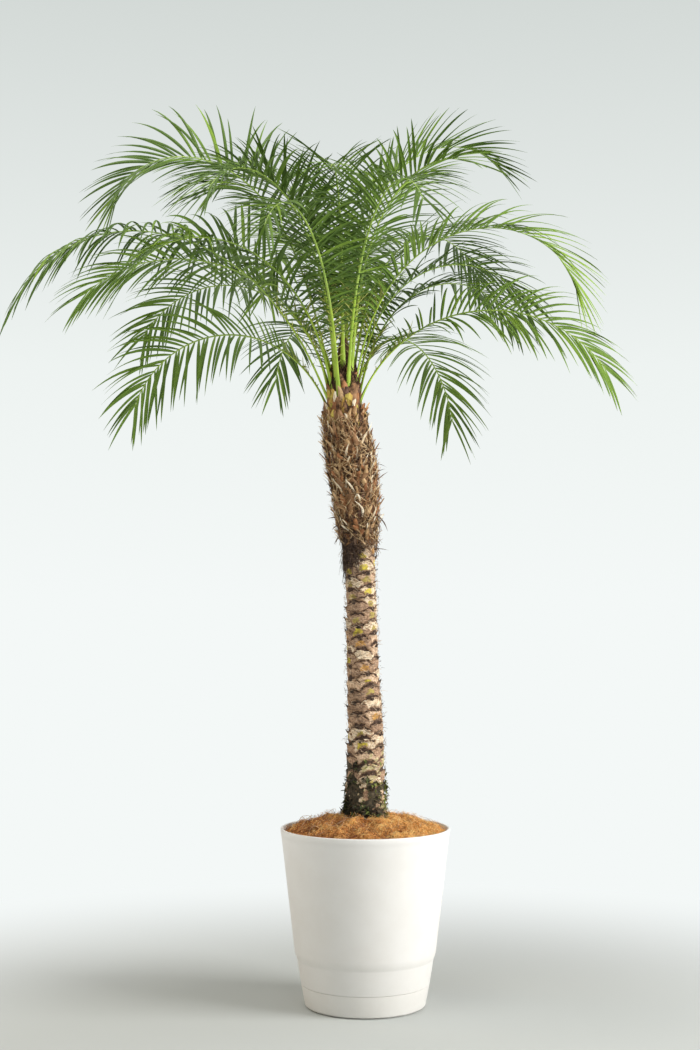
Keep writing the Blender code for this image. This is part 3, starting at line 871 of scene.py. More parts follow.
# %% Eleven finishes of bark
BARK_COLOURS = {
    "tan": ((253, 236, 206), (206, 174, 138)),
    "rosy": ((242, 212, 178), (184, 148, 116)),
    "mauve": ((206, 170, 138), (140, 110, 86)),
    # fringe and crevice: dark torn fibre, darkened further as painted shade
    "fringe": ((170, 134, 102), (122, 94, 70)),
    "crevice": ((96, 72, 56), (62, 46, 38)),
    "yellow_heart": ((232, 214, 76), (186, 158, 76)),
    "orange_heart": ((222, 168, 84), (178, 130, 84)),
    "olive_heart": ((196, 176, 90), (164, 142, 90)),
    "matting": ((112, 82, 54), (70, 50, 34)),
    # moss, thicker on the left as painted shade
    "moss": ((92, 80, 58), (46, 42, 30)),
    # pale lichen, and painted light on the lamp side of the foot
    "lichen_lit": ((226, 208, 168), (178, 164, 104)),
}
BARK_PATCHES = 230
NUMBER = {name: number for number, name in enumerate(BARK_COLOURS)}

bark_finishes = []
for name, (ground, patch) in BARK_COLOURS.items():
    fibrous = 0.10 if name == "matting" else 3.0
    bark_finishes.append(finish(
        f"bark_{name}", paint(*ground), paint(*patch), BARK_PATCHES, (0.75, 0.95),
        330, fibrous, 0.0015, 0.16,
    ))
print("finishes of bark:", len(bark_finishes))

# %% Which finish each face of the bark gets
damp = np.clip((0.52 - grid_heights) / 0.15, 0.0, 1.0)
# painted shade: more moss on the left, away from the key lamp
painted_shade_side = -0.30 * np.cos(grid_turns)
moss_noise = grain_at((1.0, 1.0, 0.7), 0.020, 8) + 0.6 * grain_at(EVEN, 0.007, 12)
moss_and_shade = (moss_noise + 1.05 * damp + painted_shade_side > 0.66) & (damp > 0.0)
# pale faces, partly lichen and partly painted light, only on the right towards the key lamp
lit_side_lichen = grain_at(EVEN, 0.016, 13) > 0.05
lit_side_lichen &= (grid_heights < 0.50) & (np.cos(grid_turns) > -0.2)
finish_of = np.where(heart > 0, NUMBER["yellow_heart"] - 1 + heart, tone)
for name, here in (
    ("lichen_lit", lit_side_lichen),
    ("fringe", fringes),
    ("crevice", gaps),
    ("matting", upper > 0.4),
    ("moss", moss_and_shade),
):
    finish_of = np.where(here, NUMBER[name], finish_of)
print("mossy share:", round(float(moss_and_shade.mean()), 3))

# %% The bark
SUNK = 0.0022    # the pads stand up from a ground just under the solid's surface

rough = 0.0007 * grain_at((0.4, 0.4, 1.0), 0.0028, 4) + 0.0012 * grain_at(EVEN, 0.012, 5)
ragged = 0.0030 * grain_at((1.0, 1.0, 0.22), 0.006, 6)
lift = relief - SUNK + rough + ragged * upper
bark_points = on_trunk(grid_turns.ravel(), grid_heights.ravel(), lift.ravel())
quads = round_grid(len(heights), BARK_SPOKES)
slots = finish_of.ravel()[quads[:, 0]]
bark = new_piece("bark", bark_points, quads.tolist(), bark_finishes, slots=slots)
dress(bark, "bark", "trunk")

# %% Lines that rise from the stem
def risen(turn, height, tilt, length, stations, lift=0.0, bow=0.0):
    """A line that leaves the stem at a tilt above level and may bow outwards."""
    share = np.linspace(0.0, 1.0, stations)
    start = on_trunk(turn, height, lift)
    out = np.array([math.cos(turn), math.sin(turn), 0.0])
    pitch = np.radians(tilt - bow * share)
    steps = np.column_stack([np.cos(pitch), np.sin(pitch)]) * length / (stations - 1)
    path = np.cumsum(np.vstack([[0.0, 0.0], steps[:-1]]), axis=0)
    return start + path[:, :1] * out + path[:, 1:] * np.array([0.0, 0.0, 1.0])


def sideways(turn, stations):
    """The level direction across such a line, once for each station."""
    return np.tile([-math.sin(turn), math.cos(turn), 0.0], (stations, 1))


print("a line of 10 mm ends at", risen(0.0, 0.5, 30, 0.010, 5)[-1].round(3))

# %% The dark pointed tips of the worn leaf bases
TIP_SECTION = [(1.0, 0.0), (0.4, 0.45), (-0.4, 0.45), (-1.0, 0.0), (-0.4, -0.35), (0.4, -0.35)]
TIP_TAPER = np.array([1.3, 1.0, 0.66, 0.34, 0.06])
TIP_STATIONS = len(TIP_TAPER)
WORN_OFF = 0.25
TIPS_END = 0.92

tip_lines = []
tip_across = []
tip_widths = []
for height, turn in zip(pad_heights, pad_turns):
    if dice.uniform() < WORN_OFF or height > TIPS_END:
        continue
    length = dice.uniform(0.006, 0.013)
    turn = turn + dice.normal(0.0, 0.08)
    root = height + PAD_HALF_HEIGHT * 0.70
    tilt = dice.uniform(15, 62)
    bow = dice.uniform(-40, 15)
    tip_lines.append(risen(turn, root, tilt, length, TIP_STATIONS, -0.001, bow))
    tip_across.append(sideways(turn, TIP_STATIONS))
    tip_widths.append(dice.uniform(0.0030, 0.0056) * TIP_TAPER)
peg_dark = finish(
    "peg_dark", paint(92, 72, 54), paint(50, 38, 30), 150, (0.7, 0.9), 1500, 0.4, 0.0006
)
tips = sweep(tip_lines, tip_across, TIP_SECTION, tip_widths)
dress(new_piece("leaf_base_tips", *tips, [peg_dark], 40), "bark")

# %% [markdown]
# ## Fibres on the trunk
# Every leaf sheath of this palm frays into brown fibre. Most of it is up near the crown, matted
# between the old leaf bases, and a few short threads cling to the pads lower down. Hair particles
# would do as well, but each kind would have to be combed by hand. Instead, one function lays lines
# on the stem. They lean either way, and a few ends stand off. It is used for each kind with its
# own lengths, lean and shade.

# %% Lines that lie on the stem
MAT_STATIONS = 6


def matted_fibres(seed, count, band, length, thickness, lean, stand, lift, span):
    """Lines that start in a band of heights. A negative length lets them hang down."""
    dice = np.random.default_rng(seed)
    share = np.linspace(0.0, 1.0, MAT_STATIONS)[None, :]
    height = dice.uniform(*band, count)[:, None]
    turn = np.radians(dice.uniform(*span, count))[:, None]
    reach = dice.uniform(*length, count)[:, None]
    side = dice.choice([-1.0, 1.0], count)[:, None]
    tilt = side * np.abs(dice.normal(lean, 0.35, count))[:, None]
    climb = height + reach * np.cos(tilt) * share
    curl = dice.normal(0.0, 0.25, count)[:, None] * np.sin(share * math.pi)
    radius = np.maximum(trunk_radius(height), 0.014)
    swing = turn + reach * np.sin(tilt) / radius * share + curl
    free = stand * dice.uniform(0.0, 1.0, count)[:, None] ** 5
    off = lift + dice.uniform(-0.002, 0.005, count)[:, None] + free * share ** 1.5
    lines = on_trunk(swing, climb, off)
    lines[:, :, 2] -= free * 0.5 * share ** 3
    taper = ramp_array(share, [(0, 0.7), (0.4, 1), (1, 0.25)])
    return lines, dice.uniform(*thickness, count)[:, None] * taper


print("stations of a matted fibre:", MAT_STATIONS)

# %% Matting near the crown, and threads on the pads below
ROUND = (0, 360)
fibre_kinds = (
    # name, ground, patch, count, band, length, thickness, lean, stand, lift, span in degrees
    ("matting_dark", (84, 60, 42), (54, 40, 28), 900,
     (0.900, 1.180), (0.014, 0.044), (0.0004, 0.0009), 0.24, 0.014, 0.000, ROUND),
    ("matting_brown", (176, 132, 86), (136, 98, 62), 900,
     (0.905, 1.170), (0.012, 0.038), (0.0004, 0.0008), 0.26, 0.015, 0.001, ROUND),
    ("matting_straw", (236, 206, 160), (196, 162, 114), 700,
     (0.905, 1.160), (0.010, 0.032), (0.0004, 0.0008), 0.26, 0.014, 0.003, ROUND),
    ("crown_matting", (92, 64, 42), (58, 40, 28), 520,
     (1.215, 1.265), (0.014, 0.036), (0.0005, 0.0011), 0.28, 0.006, 0.000, ROUND),
    ("hanging_dark", (98, 78, 66), (62, 48, 40), 300,
     (0.885, 0.950), (-0.066, -0.016), (0.0004, 0.0009), 0.15, 0.014, 0.000, (165, 265)),
    ("hanging_brown", (150, 118, 88), (108, 82, 60), 260,
     (0.900, 0.965), (-0.034, -0.008), (0.0004, 0.0010), 0.55, 0.016, 0.001, ROUND),
    ("pad_thread_dark", (92, 70, 56), (58, 44, 36), 750,
     (0.44, 0.915), (0.008, 0.022), (0.00025, 0.0005), 1.25, 0.008, 0.001, ROUND),
    ("pad_thread_pale", (226, 204, 176), (190, 160, 130), 550,
     (0.48, 0.915), (0.008, 0.024), (0.00025, 0.0005), 1.15, 0.010, 0.001, ROUND),
)
for index, (name, ground, patch, *lay) in enumerate(fibre_kinds):
    shade = finish(
        name, paint(*ground), paint(*patch), 120, (0.7, 0.9), 2500, 0.3, 0.0002, 0.2, 0.3
    )
    fibres = hairs(*matted_fibres(50 + index, *lay))
    dress(new_piece(f"{name}_fibres", *fibres, [shade]), "bark")

# %% [markdown]
# ## The leaf bases near the crown
# The upper third of the trunk is still clad in old leaf bases. Most have torn into narrow stringy
# chips, brown, rusty or pale. Broad young sheaths, some still yellow-green, follow above them, and
# dark knobs where the stalks begin. Copies of one modelled chip would look alike, so each one is a
# crescent of its own, swept up the stem with an uneven edge. The rows of leaves make ridges that
# wind round the stem: there the bases stand further out, and the pale shades gather on them as
# painted light, while the dark shades gather in the grooves between as painted shade. The shades
# are dealt out base by base.

# %% Shades of the leaf bases
base_colours = {
    "base_dark": ((108, 72, 50), (66, 44, 32)),
    "base_brown": ((168, 124, 82), (112, 80, 52)),
    "base_rust": ((178, 120, 72), (132, 84, 50)),
    "base_tan": ((218, 182, 134), (172, 134, 90)),
    "base_pale": ((250, 238, 212), (222, 198, 160)),
    "base_young": ((206, 190, 84), (186, 138, 68)),
}
TORN = (1100, 0.1, 0.0012, 0.18)    # grains per metre, squash, depth, softness
base_shades = {
    name: finish(name, paint(*ground), paint(*patch), 80, (0.6, 0.85), *TORN)
    for name, (ground, patch) in base_colours.items()
}
print("shades of leaf base:", len(base_shades))

# %% Laying leaf bases round the stem
GOLDEN_ANGLE = math.radians(137.5)
BASE_STATIONS = 6
WIDTH_BY_SHADE = {"base_pale": 0.55, "base_tan": 0.8, "base_young": 0.85}
TIP_BY_SHADE = {"base_young": 0.4}
RIDGE_RISE = 0.036
RIDGE_STARTS = 3
# painted light and shade: pale shades gather on the ridges, dark ones in the grooves
LIT_ON_RIDGE = np.array([-0.7, 0.0, 0.2, 0.4, 0.6, 0.0])    # which shades gather on the ridges

dealt = {name: ([], [], []) for name in base_shades}


def ridge_at(height, turn):
    """Between 0 in the grooves and 1 on the ridges that the rows of old leaves make."""
    return 0.5 + 0.5 * math.cos(2 * math.pi * height / RIDGE_RISE + RIDGE_STARTS * turn)


def lap_bases(seed, count, band, length, half_width, stand, lean, odds):
    """Leaf bases up a band of heights, each dealt to a shade by the odds."""
    dice = np.random.default_rng(seed)
    share = np.linspace(0.0, 1.0, BASE_STATIONS)
    for i in range(count):
        height = band[0] + (band[1] - band[0]) * i / (count - 1)
        turn = i * GOLDEN_ANGLE + dice.normal(0.0, 0.2)
        climb = height + dice.uniform(*length) * share
        ridge = ridge_at(height, turn)
        off = -0.002 + dice.uniform(*stand) * (0.45 + 0.95 * ridge) * share ** 1.3
        # painted light and shade: pale bases go to the ridges, dark ones to the grooves
        weights = np.array(odds) * (1.0 + LIT_ON_RIDGE * (2 * ridge - 1))
        bend = dice.normal(0.0, lean) * share + dice.normal(0.0, 0.06) * np.sin(share * math.pi)
        line = on_trunk(turn + bend, climb, off)
        shade = str(dice.choice(list(dealt), p=weights / weights.sum()))
        width = dice.uniform(*half_width) * WIDTH_BY_SHADE.get(shade, 1.0)
        shoulder = dice.uniform(0.4, 0.8)
        tip = dice.uniform(0.05, 0.6) * TIP_BY_SHADE.get(shade, 1.0)
        taper = ramp_array(share, [(0, 1.0), (0.45, 0.9), (0.8, shoulder), (1, tip)])
        widths = width * taper * (1.0 + dice.normal(0.0, 0.12, BASE_STATIONS))
        for store, value in zip(dealt[shade], (line, -sideways(turn, BASE_STATIONS), widths)):
            store.append(value)


print("shades dealt:", ", ".join(dealt))

# %% Old leaf bases: torn chips, broad young sheaths above them, and dark knobs at the stalks
SCALE_SECTION = [
    (-1.0, -0.30), (-0.5, -0.14), (0.0, -0.08), (0.5, -0.14), (1.0, -0.30),
    (0.5, 0.10), (0.0, 0.22), (-0.5, 0.10),
]
BASE_KINDS = (
    # seed, count, band, length, half width, stand, lean, odds in the order of the shades
    (12, 560, (0.902, 1.165), (0.014, 0.036), (0.0028, 0.0080), (0.004, 0.016), 0.15,
     (0.15, 0.24, 0.18, 0.23, 0.20, 0.0)),
    (13, 60, (1.140, 1.200), (0.024, 0.040), (0.0075, 0.0130), (0.006, 0.014), 0.14,
     (0.06, 0.20, 0.26, 0.08, 0.16, 0.34)),
    (14, 60, (1.196, 1.240), (0.014, 0.028), (0.0055, 0.0095), (0.004, 0.011), 0.14,
     (0.50, 0.16, 0.24, 0.04, 0.02, 0.04)),
)
for kind in BASE_KINDS:
    lap_bases(*kind)
for shade, (lines, across, widths) in dealt.items():
    scales = sweep(lines, across, SCALE_SECTION, widths)
    dress(new_piece(f"{shade}_scales", *scales, [base_shades[shade]], 50), "bark")

# %% Torn scraps that stand off the matting
SCRAP_TAPER = np.array([1.0, 1.2, 0.8, 0.9, 0.45, 0.08])
SCRAP_STATIONS = len(SCRAP_TAPER)
scraps = (
    # turn in degrees, height, tilt, length, half width, bow
    (-4, 0.902, -4, 0.030, 0.0028, 10),
    (-8, 0.898, 20, 0.018, 0.0034, 30),
    (-12, 0.972, -38, 0.046, 0.0042, 40),
    (-20, 0.962, -50, 0.034, 0.0036, 40),
    (4, 1.035, 42, 0.034, 0.0042, 10),
    (-2, 1.052, 30, 0.024, 0.0026, 20),
    (-8, 1.070, 5, 0.030, 0.0020, 50),
    (2, 1.098, 24, 0.024, 0.0022, 40),
    (184, 0.962, 10, 0.024, 0.0046, 30),
    (192, 0.950, -20, 0.022, 0.0040, 30),
    (176, 1.000, 40, 0.024, 0.0030, 30),
    (200, 0.930, -30, 0.030, 0.0034, 40),
    (80, 0.968, -20, 0.036, 0.0050, 50),
    (120, 0.990, 10, 0.030, 0.0040, 60),
    (230, 0.940, -10, 0.032, 0.0040, 60),
    (262, 0.925, -30, 0.028, 0.0036, 40),
    (-60, 0.948, -20, 0.028, 0.0040, 50),
    (-36, 0.920, -10, 0.026, 0.0036, 50),
    (40, 1.010, 0, 0.034, 0.0036, 40),
    (150, 1.060, 20, 0.024, 0.0030, 30),
)
scrap_lines = []
scrap_across = []
scrap_widths = []
for degrees, height, tilt, length, half_width, bow in scraps:
    turn = math.radians(degrees)
    scrap_lines.append(risen(turn, height, tilt, length, SCRAP_STATIONS, -0.002, bow))
    scrap_across.append(-sideways(turn, SCRAP_STATIONS))
    scrap_widths.append(half_width * SCRAP_TAPER)
scrap_brown = finish("scrap_brown", paint(120, 90, 64), paint(72, 56, 42), 90, (0.7, 0.9), *TORN)
torn = sweep(scrap_lines, scrap_across, SCALE_SECTION, scrap_widths)
dress(new_piece("torn_scraps", *torn, [scrap_brown], 50), "bark")

# %% [markdown]
# ## Moss at the foot
# The foot of the trunk stays damp. Dark moss and lichen crust it and thin out upwards in tufts. The
# dark moss is thickest on the left, away from the key lamp, as painted shade, and the bright and
# grey flakes lean to the lamp's side as painted light. A rough colour alone would leave a clean
# outline there. So each flake is a small curved leaf that stands off the bark, and they crowd where
# a slow noise is high, which is also where the bark below them is dark.

# %% Flakes in tufts
MOSS_FOOT = 0.338
MOSS_RISE = 0.175
FLAKE_TAPER = np.array([[0.6, 1.0, 0.8, 0.12]])


def moss_flakes(seed, count, size, spread, towards):
    """Small leafy flakes in tufts, mostly on one side of the stem."""
    dice = np.random.default_rng(seed)
    share_up = dice.uniform(0.0, 1.0, 8 * count) ** 1.5
    height = MOSS_FOOT + MOSS_RISE * share_up
    turn = dice.uniform(0.0, 2 * math.pi, 8 * count)
    foot = on_trunk(turn, height, 0.0)
    tufts = roughness_at(foot, 0.020, 8) + 0.5 * roughness_at(foot, 0.007, 12)
    dense = tufts + 1.1 * (1.0 - share_up) + 0.30 * np.cos(turn - math.radians(towards))
    keep = np.argsort(-(dense + dice.normal(0.0, spread, len(dense))))[:count]
    share = np.linspace(0.0, 1.0, FLAKE_TAPER.shape[1])[None, :]
    length = dice.uniform(*size, count)[:, None]
    tilt = dice.uniform(-1.4, 1.2, count)[:, None]
    bend = dice.uniform(-1.5, 0.8, count)[:, None]
    swing = turn[keep][:, None] + dice.normal(0.0, 0.16, count)[:, None] * share
    lifted = dice.uniform(0.0, 0.003, count)[:, None]
    off = -0.001 + lifted + length * np.cos(tilt) * share * 0.8
    climb = height[keep][:, None] + length * (np.sin(tilt) * share + 0.5 * bend * share ** 2)
    lines = on_trunk(swing, np.maximum(climb, MOSS_FOOT), off)
    return lines, length * dice.uniform(0.14, 0.30, count)[:, None] * FLAKE_TAPER


print("moss reaches up to", round(MOSS_FOOT + MOSS_RISE, 3), "m")

# %% Moss at the foot of the trunk
FLAKE_SECTION = [(-1.0, 0.0), (0.0, -0.22), (1.0, 0.0), (0.0, 0.22)]
moss_shades = (
    # name, ground, patch, count, size, spread, side in degrees
    # dark flakes turn from the key lamp as painted shade, bright and grey ones to it as painted
    # light
    ("moss_black", (66, 60, 44), (38, 34, 26), 960, (0.006, 0.014), 0.26, 200),
    ("moss_green", (86, 94, 50), (56, 64, 36), 780, (0.005, 0.012), 0.34, 180),
    ("moss_bright", (146, 154, 78), (106, 118, 58), 380, (0.004, 0.010), 0.34, -30),
    ("moss_grey", (160, 142, 108), (112, 98, 74), 320, (0.004, 0.010), 0.60, -20),
)
for index, (name, ground, patch, *growth) in enumerate(moss_shades):
    shade = finish(
        name, paint(*ground), paint(*patch), 120, (0.7, 0.9), 1500, 1.0, 0.0003, 0.2, 0.3
    )
    flakes = hairs(*moss_flakes(70 + index, *growth), FLAKE_SECTION)
    dress(new_piece(f"{name}_flakes", *flakes, [shade], 40), "bark")

# %% [markdown]
# ## The fronds
# A frond is a stiff green midrib that arches over under its own weight, with long thorns low down
# and thirty to fifty pairs of narrow folded leaflets above. The solids hold a coarse blade of each
# frond. A flat card with a picture of leaflets would be lighter, but it looks thin from the side.
# Here the rule of the solids grows each frond again, with the same angles and lengths, and with
# every leaflet a mesh of its true width. They hang more the older the frond is.

# %% The fronds of the solids: angles in degrees, lengths in metres
FRONDS = (
    # azimuth, launch, droop, bend, length, roll, leaflet, seat
    (-94, 87, 122, 2.0, 0.50, 0, 0.16, 1.292),
    (14, 88, 135, 2.5, 0.65, 0, 0.15, 1.286),
    (146, 86, 118, 2.1, 0.62, 0, 0.17, 1.280),
    (-158, 86, 134, 2.4, 0.56, 0, 0.17, 1.274),
    (-42, 84, 108, 2.2, 0.54, 0, 0.17, 1.268),
    (82, 82, 130, 1.5, 0.58, 0, 0.16, 1.262),
    (176, 76, 148, 2.6, 0.76, -50, 0.17, 1.252),
    (-12, 79, 154, 1.5, 0.66, 20, 0.17, 1.248),
    (-124, 80, 134, 1.9, 0.64, 0, 0.17, 1.246),
    (50, 78, 132, 1.7, 0.66, 0, 0.17, 1.244),
    (112, 77, 132, 1.7, 0.68, 0, 0.17, 1.240),
    (-70, 80, 134, 1.8, 0.62, 0, 0.17, 1.238),
    (198, 66, 124, 1.5, 0.78, 0, 0.18, 1.206),
    (22, 80, 138, 1.5, 0.56, 0, 0.16, 1.228),
    (150, 74, 126, 1.2, 0.62, 20, 0.16, 1.222),
    (-108, 78, 132, 1.7, 0.60, 0, 0.16, 1.220),
    (-148, 76, 132, 1.4, 0.60, 10, 0.17, 1.232),
    (86, 80, 132, 1.5, 0.60, 0, 0.16, 1.212),
    (186, 78, 121, 1.1, 0.63, 20, 0.17, 1.224),
    (-4, 68, 124, 1.0, 0.60, 45, 0.16, 1.204),
    (36, 77, 126, 1.4, 0.58, 0, 0.16, 1.202),
    (60, 70, 140, 1.0, 0.58, 0, 0.17, 1.200),
    (114, 72, 142, 1.4, 0.48, 0, 0.15, 1.196),
    (162, 66, 136, 1.1, 0.55, 35, 0.17, 1.192),
)
AZIMUTH, LAUNCH, DROOP, BEND, LENGTH, ROLL, LEAFLET, SEAT = range(8)
SEATS = (min(frond[SEAT] for frond in FRONDS), max(frond[SEAT] for frond in FRONDS))
print("fronds:", len(FRONDS), "seated from", SEATS[0], "to", SEATS[1], "m")

# %% The line of a midrib
RIB_DEPTH = 0.005
RIB_CLEARANCE = 0.0003
RACHIS_STEPS = 60


def seat_of(frond):
    """Where the midrib leaves the stem."""
    launch = math.radians(frond[LAUNCH])
    half = RIB_DEPTH / 2
    touch = frond[SEAT] + half * math.cos(launch) - 0.001
    reach = trunk_radius(touch) + half * math.sin(launch) + RIB_CLEARANCE
    heading = math.radians(frond[AZIMUTH])
    out = Vector((math.cos(heading), math.sin(heading), 0.0))
    return Vector((trunk_centre(touch), 0.0, frond[SEAT])) + out * float(reach)


def grow_rachis(frond):
    """Frames (point, tangent, side, normal) along the midrib from trunk to tip."""
    heading = math.radians(frond[AZIMUTH])
    level = Vector((math.cos(heading), math.sin(heading), 0.0))
    across = Vector((-math.sin(heading), math.cos(heading), 0.0))

    def tangent_at(share):
        pitch = math.radians(frond[LAUNCH] - frond[DROOP] * share ** frond[BEND])
        return level * math.cos(pitch) + Vector((0.0, 0.0, math.sin(pitch)))

    frames = []
    point = seat_of(frond)
    for i in range(RACHIS_STEPS + 1):
        share = i / RACHIS_STEPS
        tangent = tangent_at(share)
        twist = Matrix.Rotation(math.radians(frond[ROLL]) * min(2 * share, 1.0), 3, tangent)
        frames.append((point.copy(), tangent, twist @ across, twist @ tangent.cross(across)))
        point += tangent_at(share + 0.5 / RACHIS_STEPS) * (frond[LENGTH] / RACHIS_STEPS)
    return frames


ribs = [grow_rachis(frond) for frond in FRONDS]
print("highest midrib:", round(max(frame[0].z for frames in ribs for frame in frames), 3), "m")

# %% Places along a frond, and values by its age
def frame_at(frames, along_rib):
    """The frame at a share of the way along a midrib."""
    place = min(max(along_rib, 0.0), 1.0) * (len(frames) - 1)
    i = min(int(place), len(frames) - 2)
    share = place - i
    return tuple(low.lerp(high, share) for low, high in zip(frames[i], frames[i + 1]))


def by_age(frond, values):
    """A value between the lowest, oldest frond's and the topmost, youngest one's."""
    return ramp(frond[SEAT], list(zip(SEATS, values)))


print("youth of the first frond:", by_age(FRONDS[0], (0.0, 1.0)))

# %% Midribs: a broad sheath at the stem, then a stalk that thins to the tip
BARE = 0.27    # share of the midrib that carries no leaflets
SHEATH = 0.034
SHEATH_PLACES = (-0.06, -0.04, -0.02)
RIB_SECTION = [
    (1.0, 0.0), (0.72, 0.42), (0.0, 0.62), (-0.72, 0.42),
    (-1.0, 0.0), (-0.6, -0.42), (0.0, -0.55), (0.6, -0.42),
]
RIB_TAPER = [
    (-0.06, 0.0070), (0.0, 0.0048), (0.06, 0.0034), (BARE, 0.0026), (0.6, 0.0020), (1.0, 0.0009),
]

places = np.concatenate([SHEATH_PLACES, np.linspace(0.0, 1.0, RACHIS_STEPS + 1)])
rib_lines = []
rib_across = []
for frames in ribs:
    point, tangent, across, _ = frames[0]
    sheath = [point - tangent * SHEATH * share for share in (1.0, 0.66, 0.33)]
    rib_lines.append([list(spot) for spot in sheath + [frame[0] for frame in frames]])
    rib_across.append([list(across)] * len(sheath) + [list(frame[2]) for frame in frames])
rib_lines = np.array(rib_lines)
rib_across = -np.array(rib_across)
rib_widths = np.array([ramp_array(places, RIB_TAPER)] * len(FRONDS))
print("points along a midrib:", len(places))

# %% Stalks below the leaflets, and midribs among them
SATIN = ((0.4, 0.55), 900, 0.3, 0.0003, 0.2, 0.3)    # roughness, grain, softness, shine

stalk_end = len(SHEATH_PLACES) + int(BARE * RACHIS_STEPS)
stalk_green = finish("stalk_green", paint(172, 196, 70), paint(140, 170, 54), 30, *SATIN)
midrib_green = finish("midrib_green", paint(160, 184, 84), paint(130, 160, 66), 30, *SATIN)
for name, part, shade, nodes in (
    ("frond_stalks", slice(None, stalk_end + 1), stalk_green, ()),
    ("midribs", slice(stalk_end, None), midrib_green, frond_nodes),
):
    swept = sweep(rib_lines[:, part], rib_across[:, part], RIB_SECTION, rib_widths[:, part])
    dress(new_piece(name, *swept, [shade], 60), "frond", *nodes)

# %% Lines of the leaflets: the source's rule, with three times as many pairs
LEAFLET_SAG = (0.95, 0.45)
LEAFLET_LIFT = (20, 42)
LEAFLET_SPREAD = ((0.0, 75), (0.5, 52), (1.0, 24))
LEAFLET_LENGTH = ((0.0, 0.4), (0.1, 0.7), (0.35, 1.0), (0.75, 0.9), (1.0, 0.62))
LEAFLET_TWITCH = 5
LEAFLET_STEPS = 9

chance = random.Random(3)


def leaflet_line(frond, rib_frame, side, along_rib, length, limp):
    """The line of a leaflet that leaves the midrib and sags under its weight."""
    point, tangent, across, normal = rib_frame
    spread = ramp(along_rib, LEAFLET_SPREAD) * limp ** 0.5
    spread = math.radians(spread + chance.gauss(0.0, LEAFLET_TWITCH))
    lift = by_age(frond, LEAFLET_LIFT) * (1.0 - 0.6 * along_rib)
    lift = math.radians(lift + chance.gauss(0.0, LEAFLET_TWITCH))
    out = across * side * math.cos(lift) + normal * math.sin(lift)
    heading = tangent * math.cos(spread) + out * math.sin(spread)
    sag = by_age(frond, LEAFLET_SAG) * (length / frond[LEAFLET]) ** 0.8 * limp
    line = [point.copy()]
    for i in range(LEAFLET_STEPS):
        share = (i + 0.5) / LEAFLET_STEPS
        way = (heading + Vector((0.0, 0.0, -sag * share ** 1.2))).normalized()
        line.append(line[-1] + way * (length / LEAFLET_STEPS))
    return line


def blade_sides(line, tangent, side, turn):
    """Across directions: the blade lies along the midrib at its root and turns outwards."""
    sides = []
    for i in range(len(line)):
        before = line[max(i - 1, 0)]
        after = line[min(i + 1, len(line) - 1)]
        along = (after - before).normalized()
        flat = tangent - along * tangent.dot(along)
        twist = Matrix.Rotation(turn * i / len(line), 3, along)
        sides.append(list(twist @ (flat.normalized() * side)))
    return sides


print("points along a leaflet:", LEAFLET_STEPS + 1)

# %% Shades of green
leaf_colours = {
    "leaf_deep": ((86, 112, 42), (72, 98, 36)),
    "leaf_green": ((109, 138, 49), (92, 121, 42)),
    "leaf_fresh": ((126, 155, 54), (110, 138, 46)),
    "leaf_light": ((122, 153, 36), (106, 135, 32)),
}
leaf_shades = {
    name: finish(
        name, paint(*ground), paint(*patch), 25, (0.44, 0.58), 700, 0.3, 0.0003, 0.2, 0.25
    )
    for name, (ground, patch) in leaf_colours.items()
}
print("greens:", ", ".join(leaf_shades))

# %% Which green a leaflet takes, and how broad it is
MAIN_SHADES = "ddddggdgddfdddgddfggdgdg"    # the main shade of each frond, by its first letter
BY_LETTER = {"d": "leaf_deep", "g": "leaf_green", "f": "leaf_fresh"}
SAME_SHADE = 0.72
LIGHT_FROND = 7    # the one on the right whose leaflets turn a lighter yellow-green towards the end
LEAFLET_HALF_WIDTH = 0.0034
FACING = (-130, -50)    # azimuths of the fronds that show their face, with finer leaflets
FINER = 0.76


def pick_shade(number, along_rib):
    """Mostly the main shade of the frond, now and then another."""
    youth = by_age(FRONDS[number], (0.0, 1.0))
    weights = (0.38 - 0.20 * youth, 0.44, 0.18 + 0.14 * youth, 0.03 + 0.03 * youth)
    shade = BY_LETTER[MAIN_SHADES[number]]
    if chance.random() >= SAME_SHADE:
        shade = chance.choices(list(leaf_shades), weights)[0]
    if number == LIGHT_FROND and chance.random() < 2.5 * (along_rib - 0.55):
        shade = "leaf_light" if along_rib > 0.88 else "leaf_fresh"
    return shade


def half_width_at(number, along_rib):
    """Half the width of a leaflet at its broadest. The lowest ones are slimmer."""
    facing = FACING[0] < FRONDS[number][AZIMUTH] < FACING[1]
    half_width = LEAFLET_HALF_WIDTH * (FINER if facing else 1.0) * chance.uniform(0.8, 1.1)
    return half_width * (0.75 + 0.25 * min(1.0, 4 * max(along_rib, 0.0)))


print("main shades:", {BY_LETTER[letter]: MAIN_SHADES.count(letter) for letter in BY_LETTER})

# %% Grow the leaflets
PAIR_SPACING = 0.0118
EXTRA_PAIRS = 5    # short ones that start a little below the bare share
LIMP_FROND = 12    # the one that reaches furthest left, whose leaflets hang
LIMP = 1.8
BLADE_TAPER = [
    (0.0, 0.45), (0.10, 0.85), (0.30, 1.0), (0.55, 0.86), (0.80, 0.52), (0.93, 0.24), (1.0, 0.03),
]

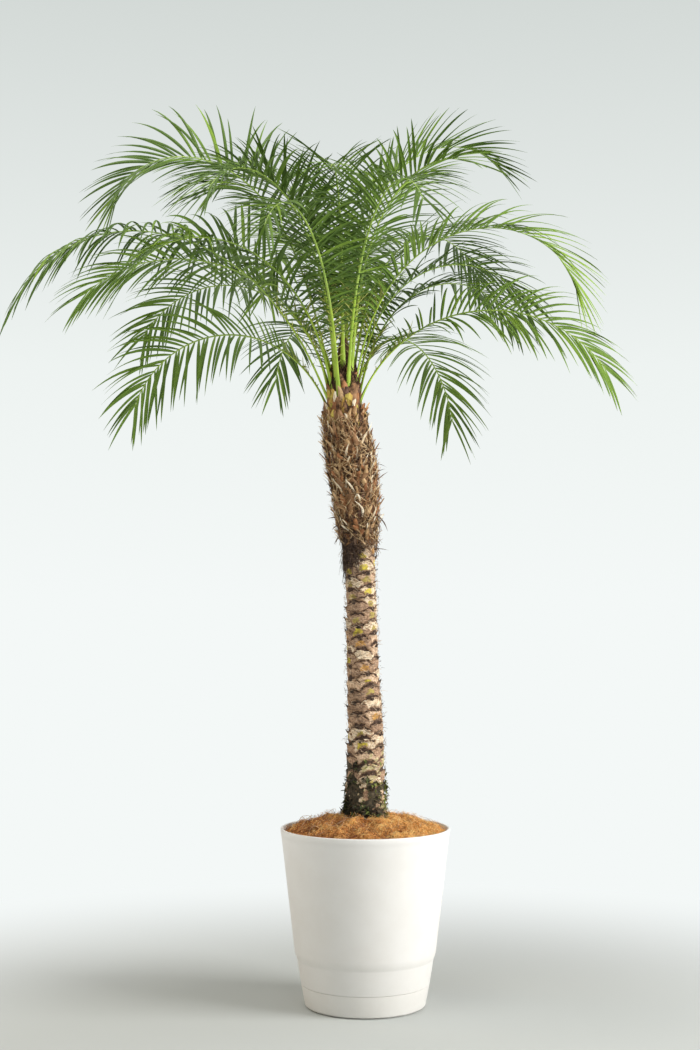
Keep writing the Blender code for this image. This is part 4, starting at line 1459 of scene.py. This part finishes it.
leaves = {name: ([], [], []) for name in leaf_shades}
for number, (frond, frames) in enumerate(zip(FRONDS, ribs)):
    pairs = round(frond[LENGTH] * (1 - BARE) / PAIR_SPACING)
    limp = LIMP if number == LIMP_FROND else 1.0
    for pair in range(-EXTRA_PAIRS, pairs):
        for side in (-1, 1):
            along_rib = (pair + 0.5 + chance.uniform(-0.3, 0.3)) / pairs
            rib_frame = frame_at(frames, BARE + (1.0 - BARE) * min(along_rib, 0.995))
            length = frond[LEAFLET] * ramp(along_rib, LEAFLET_LENGTH) * chance.uniform(0.90, 1.07)
            length *= min(1.0, 1.0 + 2.5 * along_rib)
            line = leaflet_line(frond, rib_frame, side, along_rib, length, limp)
            turn = chance.gauss(0.0, 0.35) + 0.25
            sides = blade_sides(line, rib_frame[1], side, turn * side)
            half_width = half_width_at(number, along_rib)
            stations = [i / LEAFLET_STEPS for i in range(LEAFLET_STEPS + 1)]
            taper = [half_width * ramp(station, BLADE_TAPER) for station in stations]
            leaf = ([list(point) for point in line], sides, taper)
            for store, value in zip(leaves[pick_shade(number, along_rib)], leaf):
                store.append(value)
print("leaflets:", sum(len(lines) for lines, _, _ in leaves.values()))

# %% One piece for each green
BLADE_SECTION = [(-1.0, 0.34), (0.0, -0.06), (1.0, 0.34), (0.0, 0.06)]

for shade, (lines, across, widths) in leaves.items():
    blades = sweep(lines, across, BLADE_SECTION, widths)
    dress(new_piece(f"{shade}_leaflets", *blades, [leaf_shades[shade]], 30), "frond")

# %% Thorns along the stalks
THORN_PAIRS = 9
THORNS_FROM = 0.07
THORN_LENGTH = [(THORNS_FROM, 0.010), (BARE, 0.050)]
THORN_STATIONS = (0.0, 0.4, 0.8, 1.0)
THORN_WIDTHS = [0.0013, 0.0010, 0.0006, 0.0001]

chance = random.Random(9)
thorn_lines = []
for frames in ribs:
    for pair in range(THORN_PAIRS):
        for side in (-1, 1):
            along_rib = (BARE - THORNS_FROM) * (pair + chance.uniform(0.2, 0.8)) / THORN_PAIRS
            along_rib += THORNS_FROM
            point, tangent, across, normal = frame_at(frames, along_rib)
            spread = math.radians(chance.uniform(38, 72))
            lift = math.radians(chance.uniform(5, 45))
            out = across * side * math.cos(lift) + normal * math.sin(lift)
            way = tangent * math.cos(spread) + out * math.sin(spread)
            length = chance.uniform(0.7, 1.1) * ramp(along_rib, THORN_LENGTH)
            thorn_lines.append([list(point + way * length * share) for share in THORN_STATIONS])
thorn = finish(
    "thorn", paint(186, 190, 96), paint(150, 150, 70), 120, (0.35, 0.5), 1500, 1.0, 0.0002
)
thorns = hairs(thorn_lines, [THORN_WIDTHS] * len(thorn_lines))
dress(new_piece("thorns", *thorns, [thorn]), "frond")
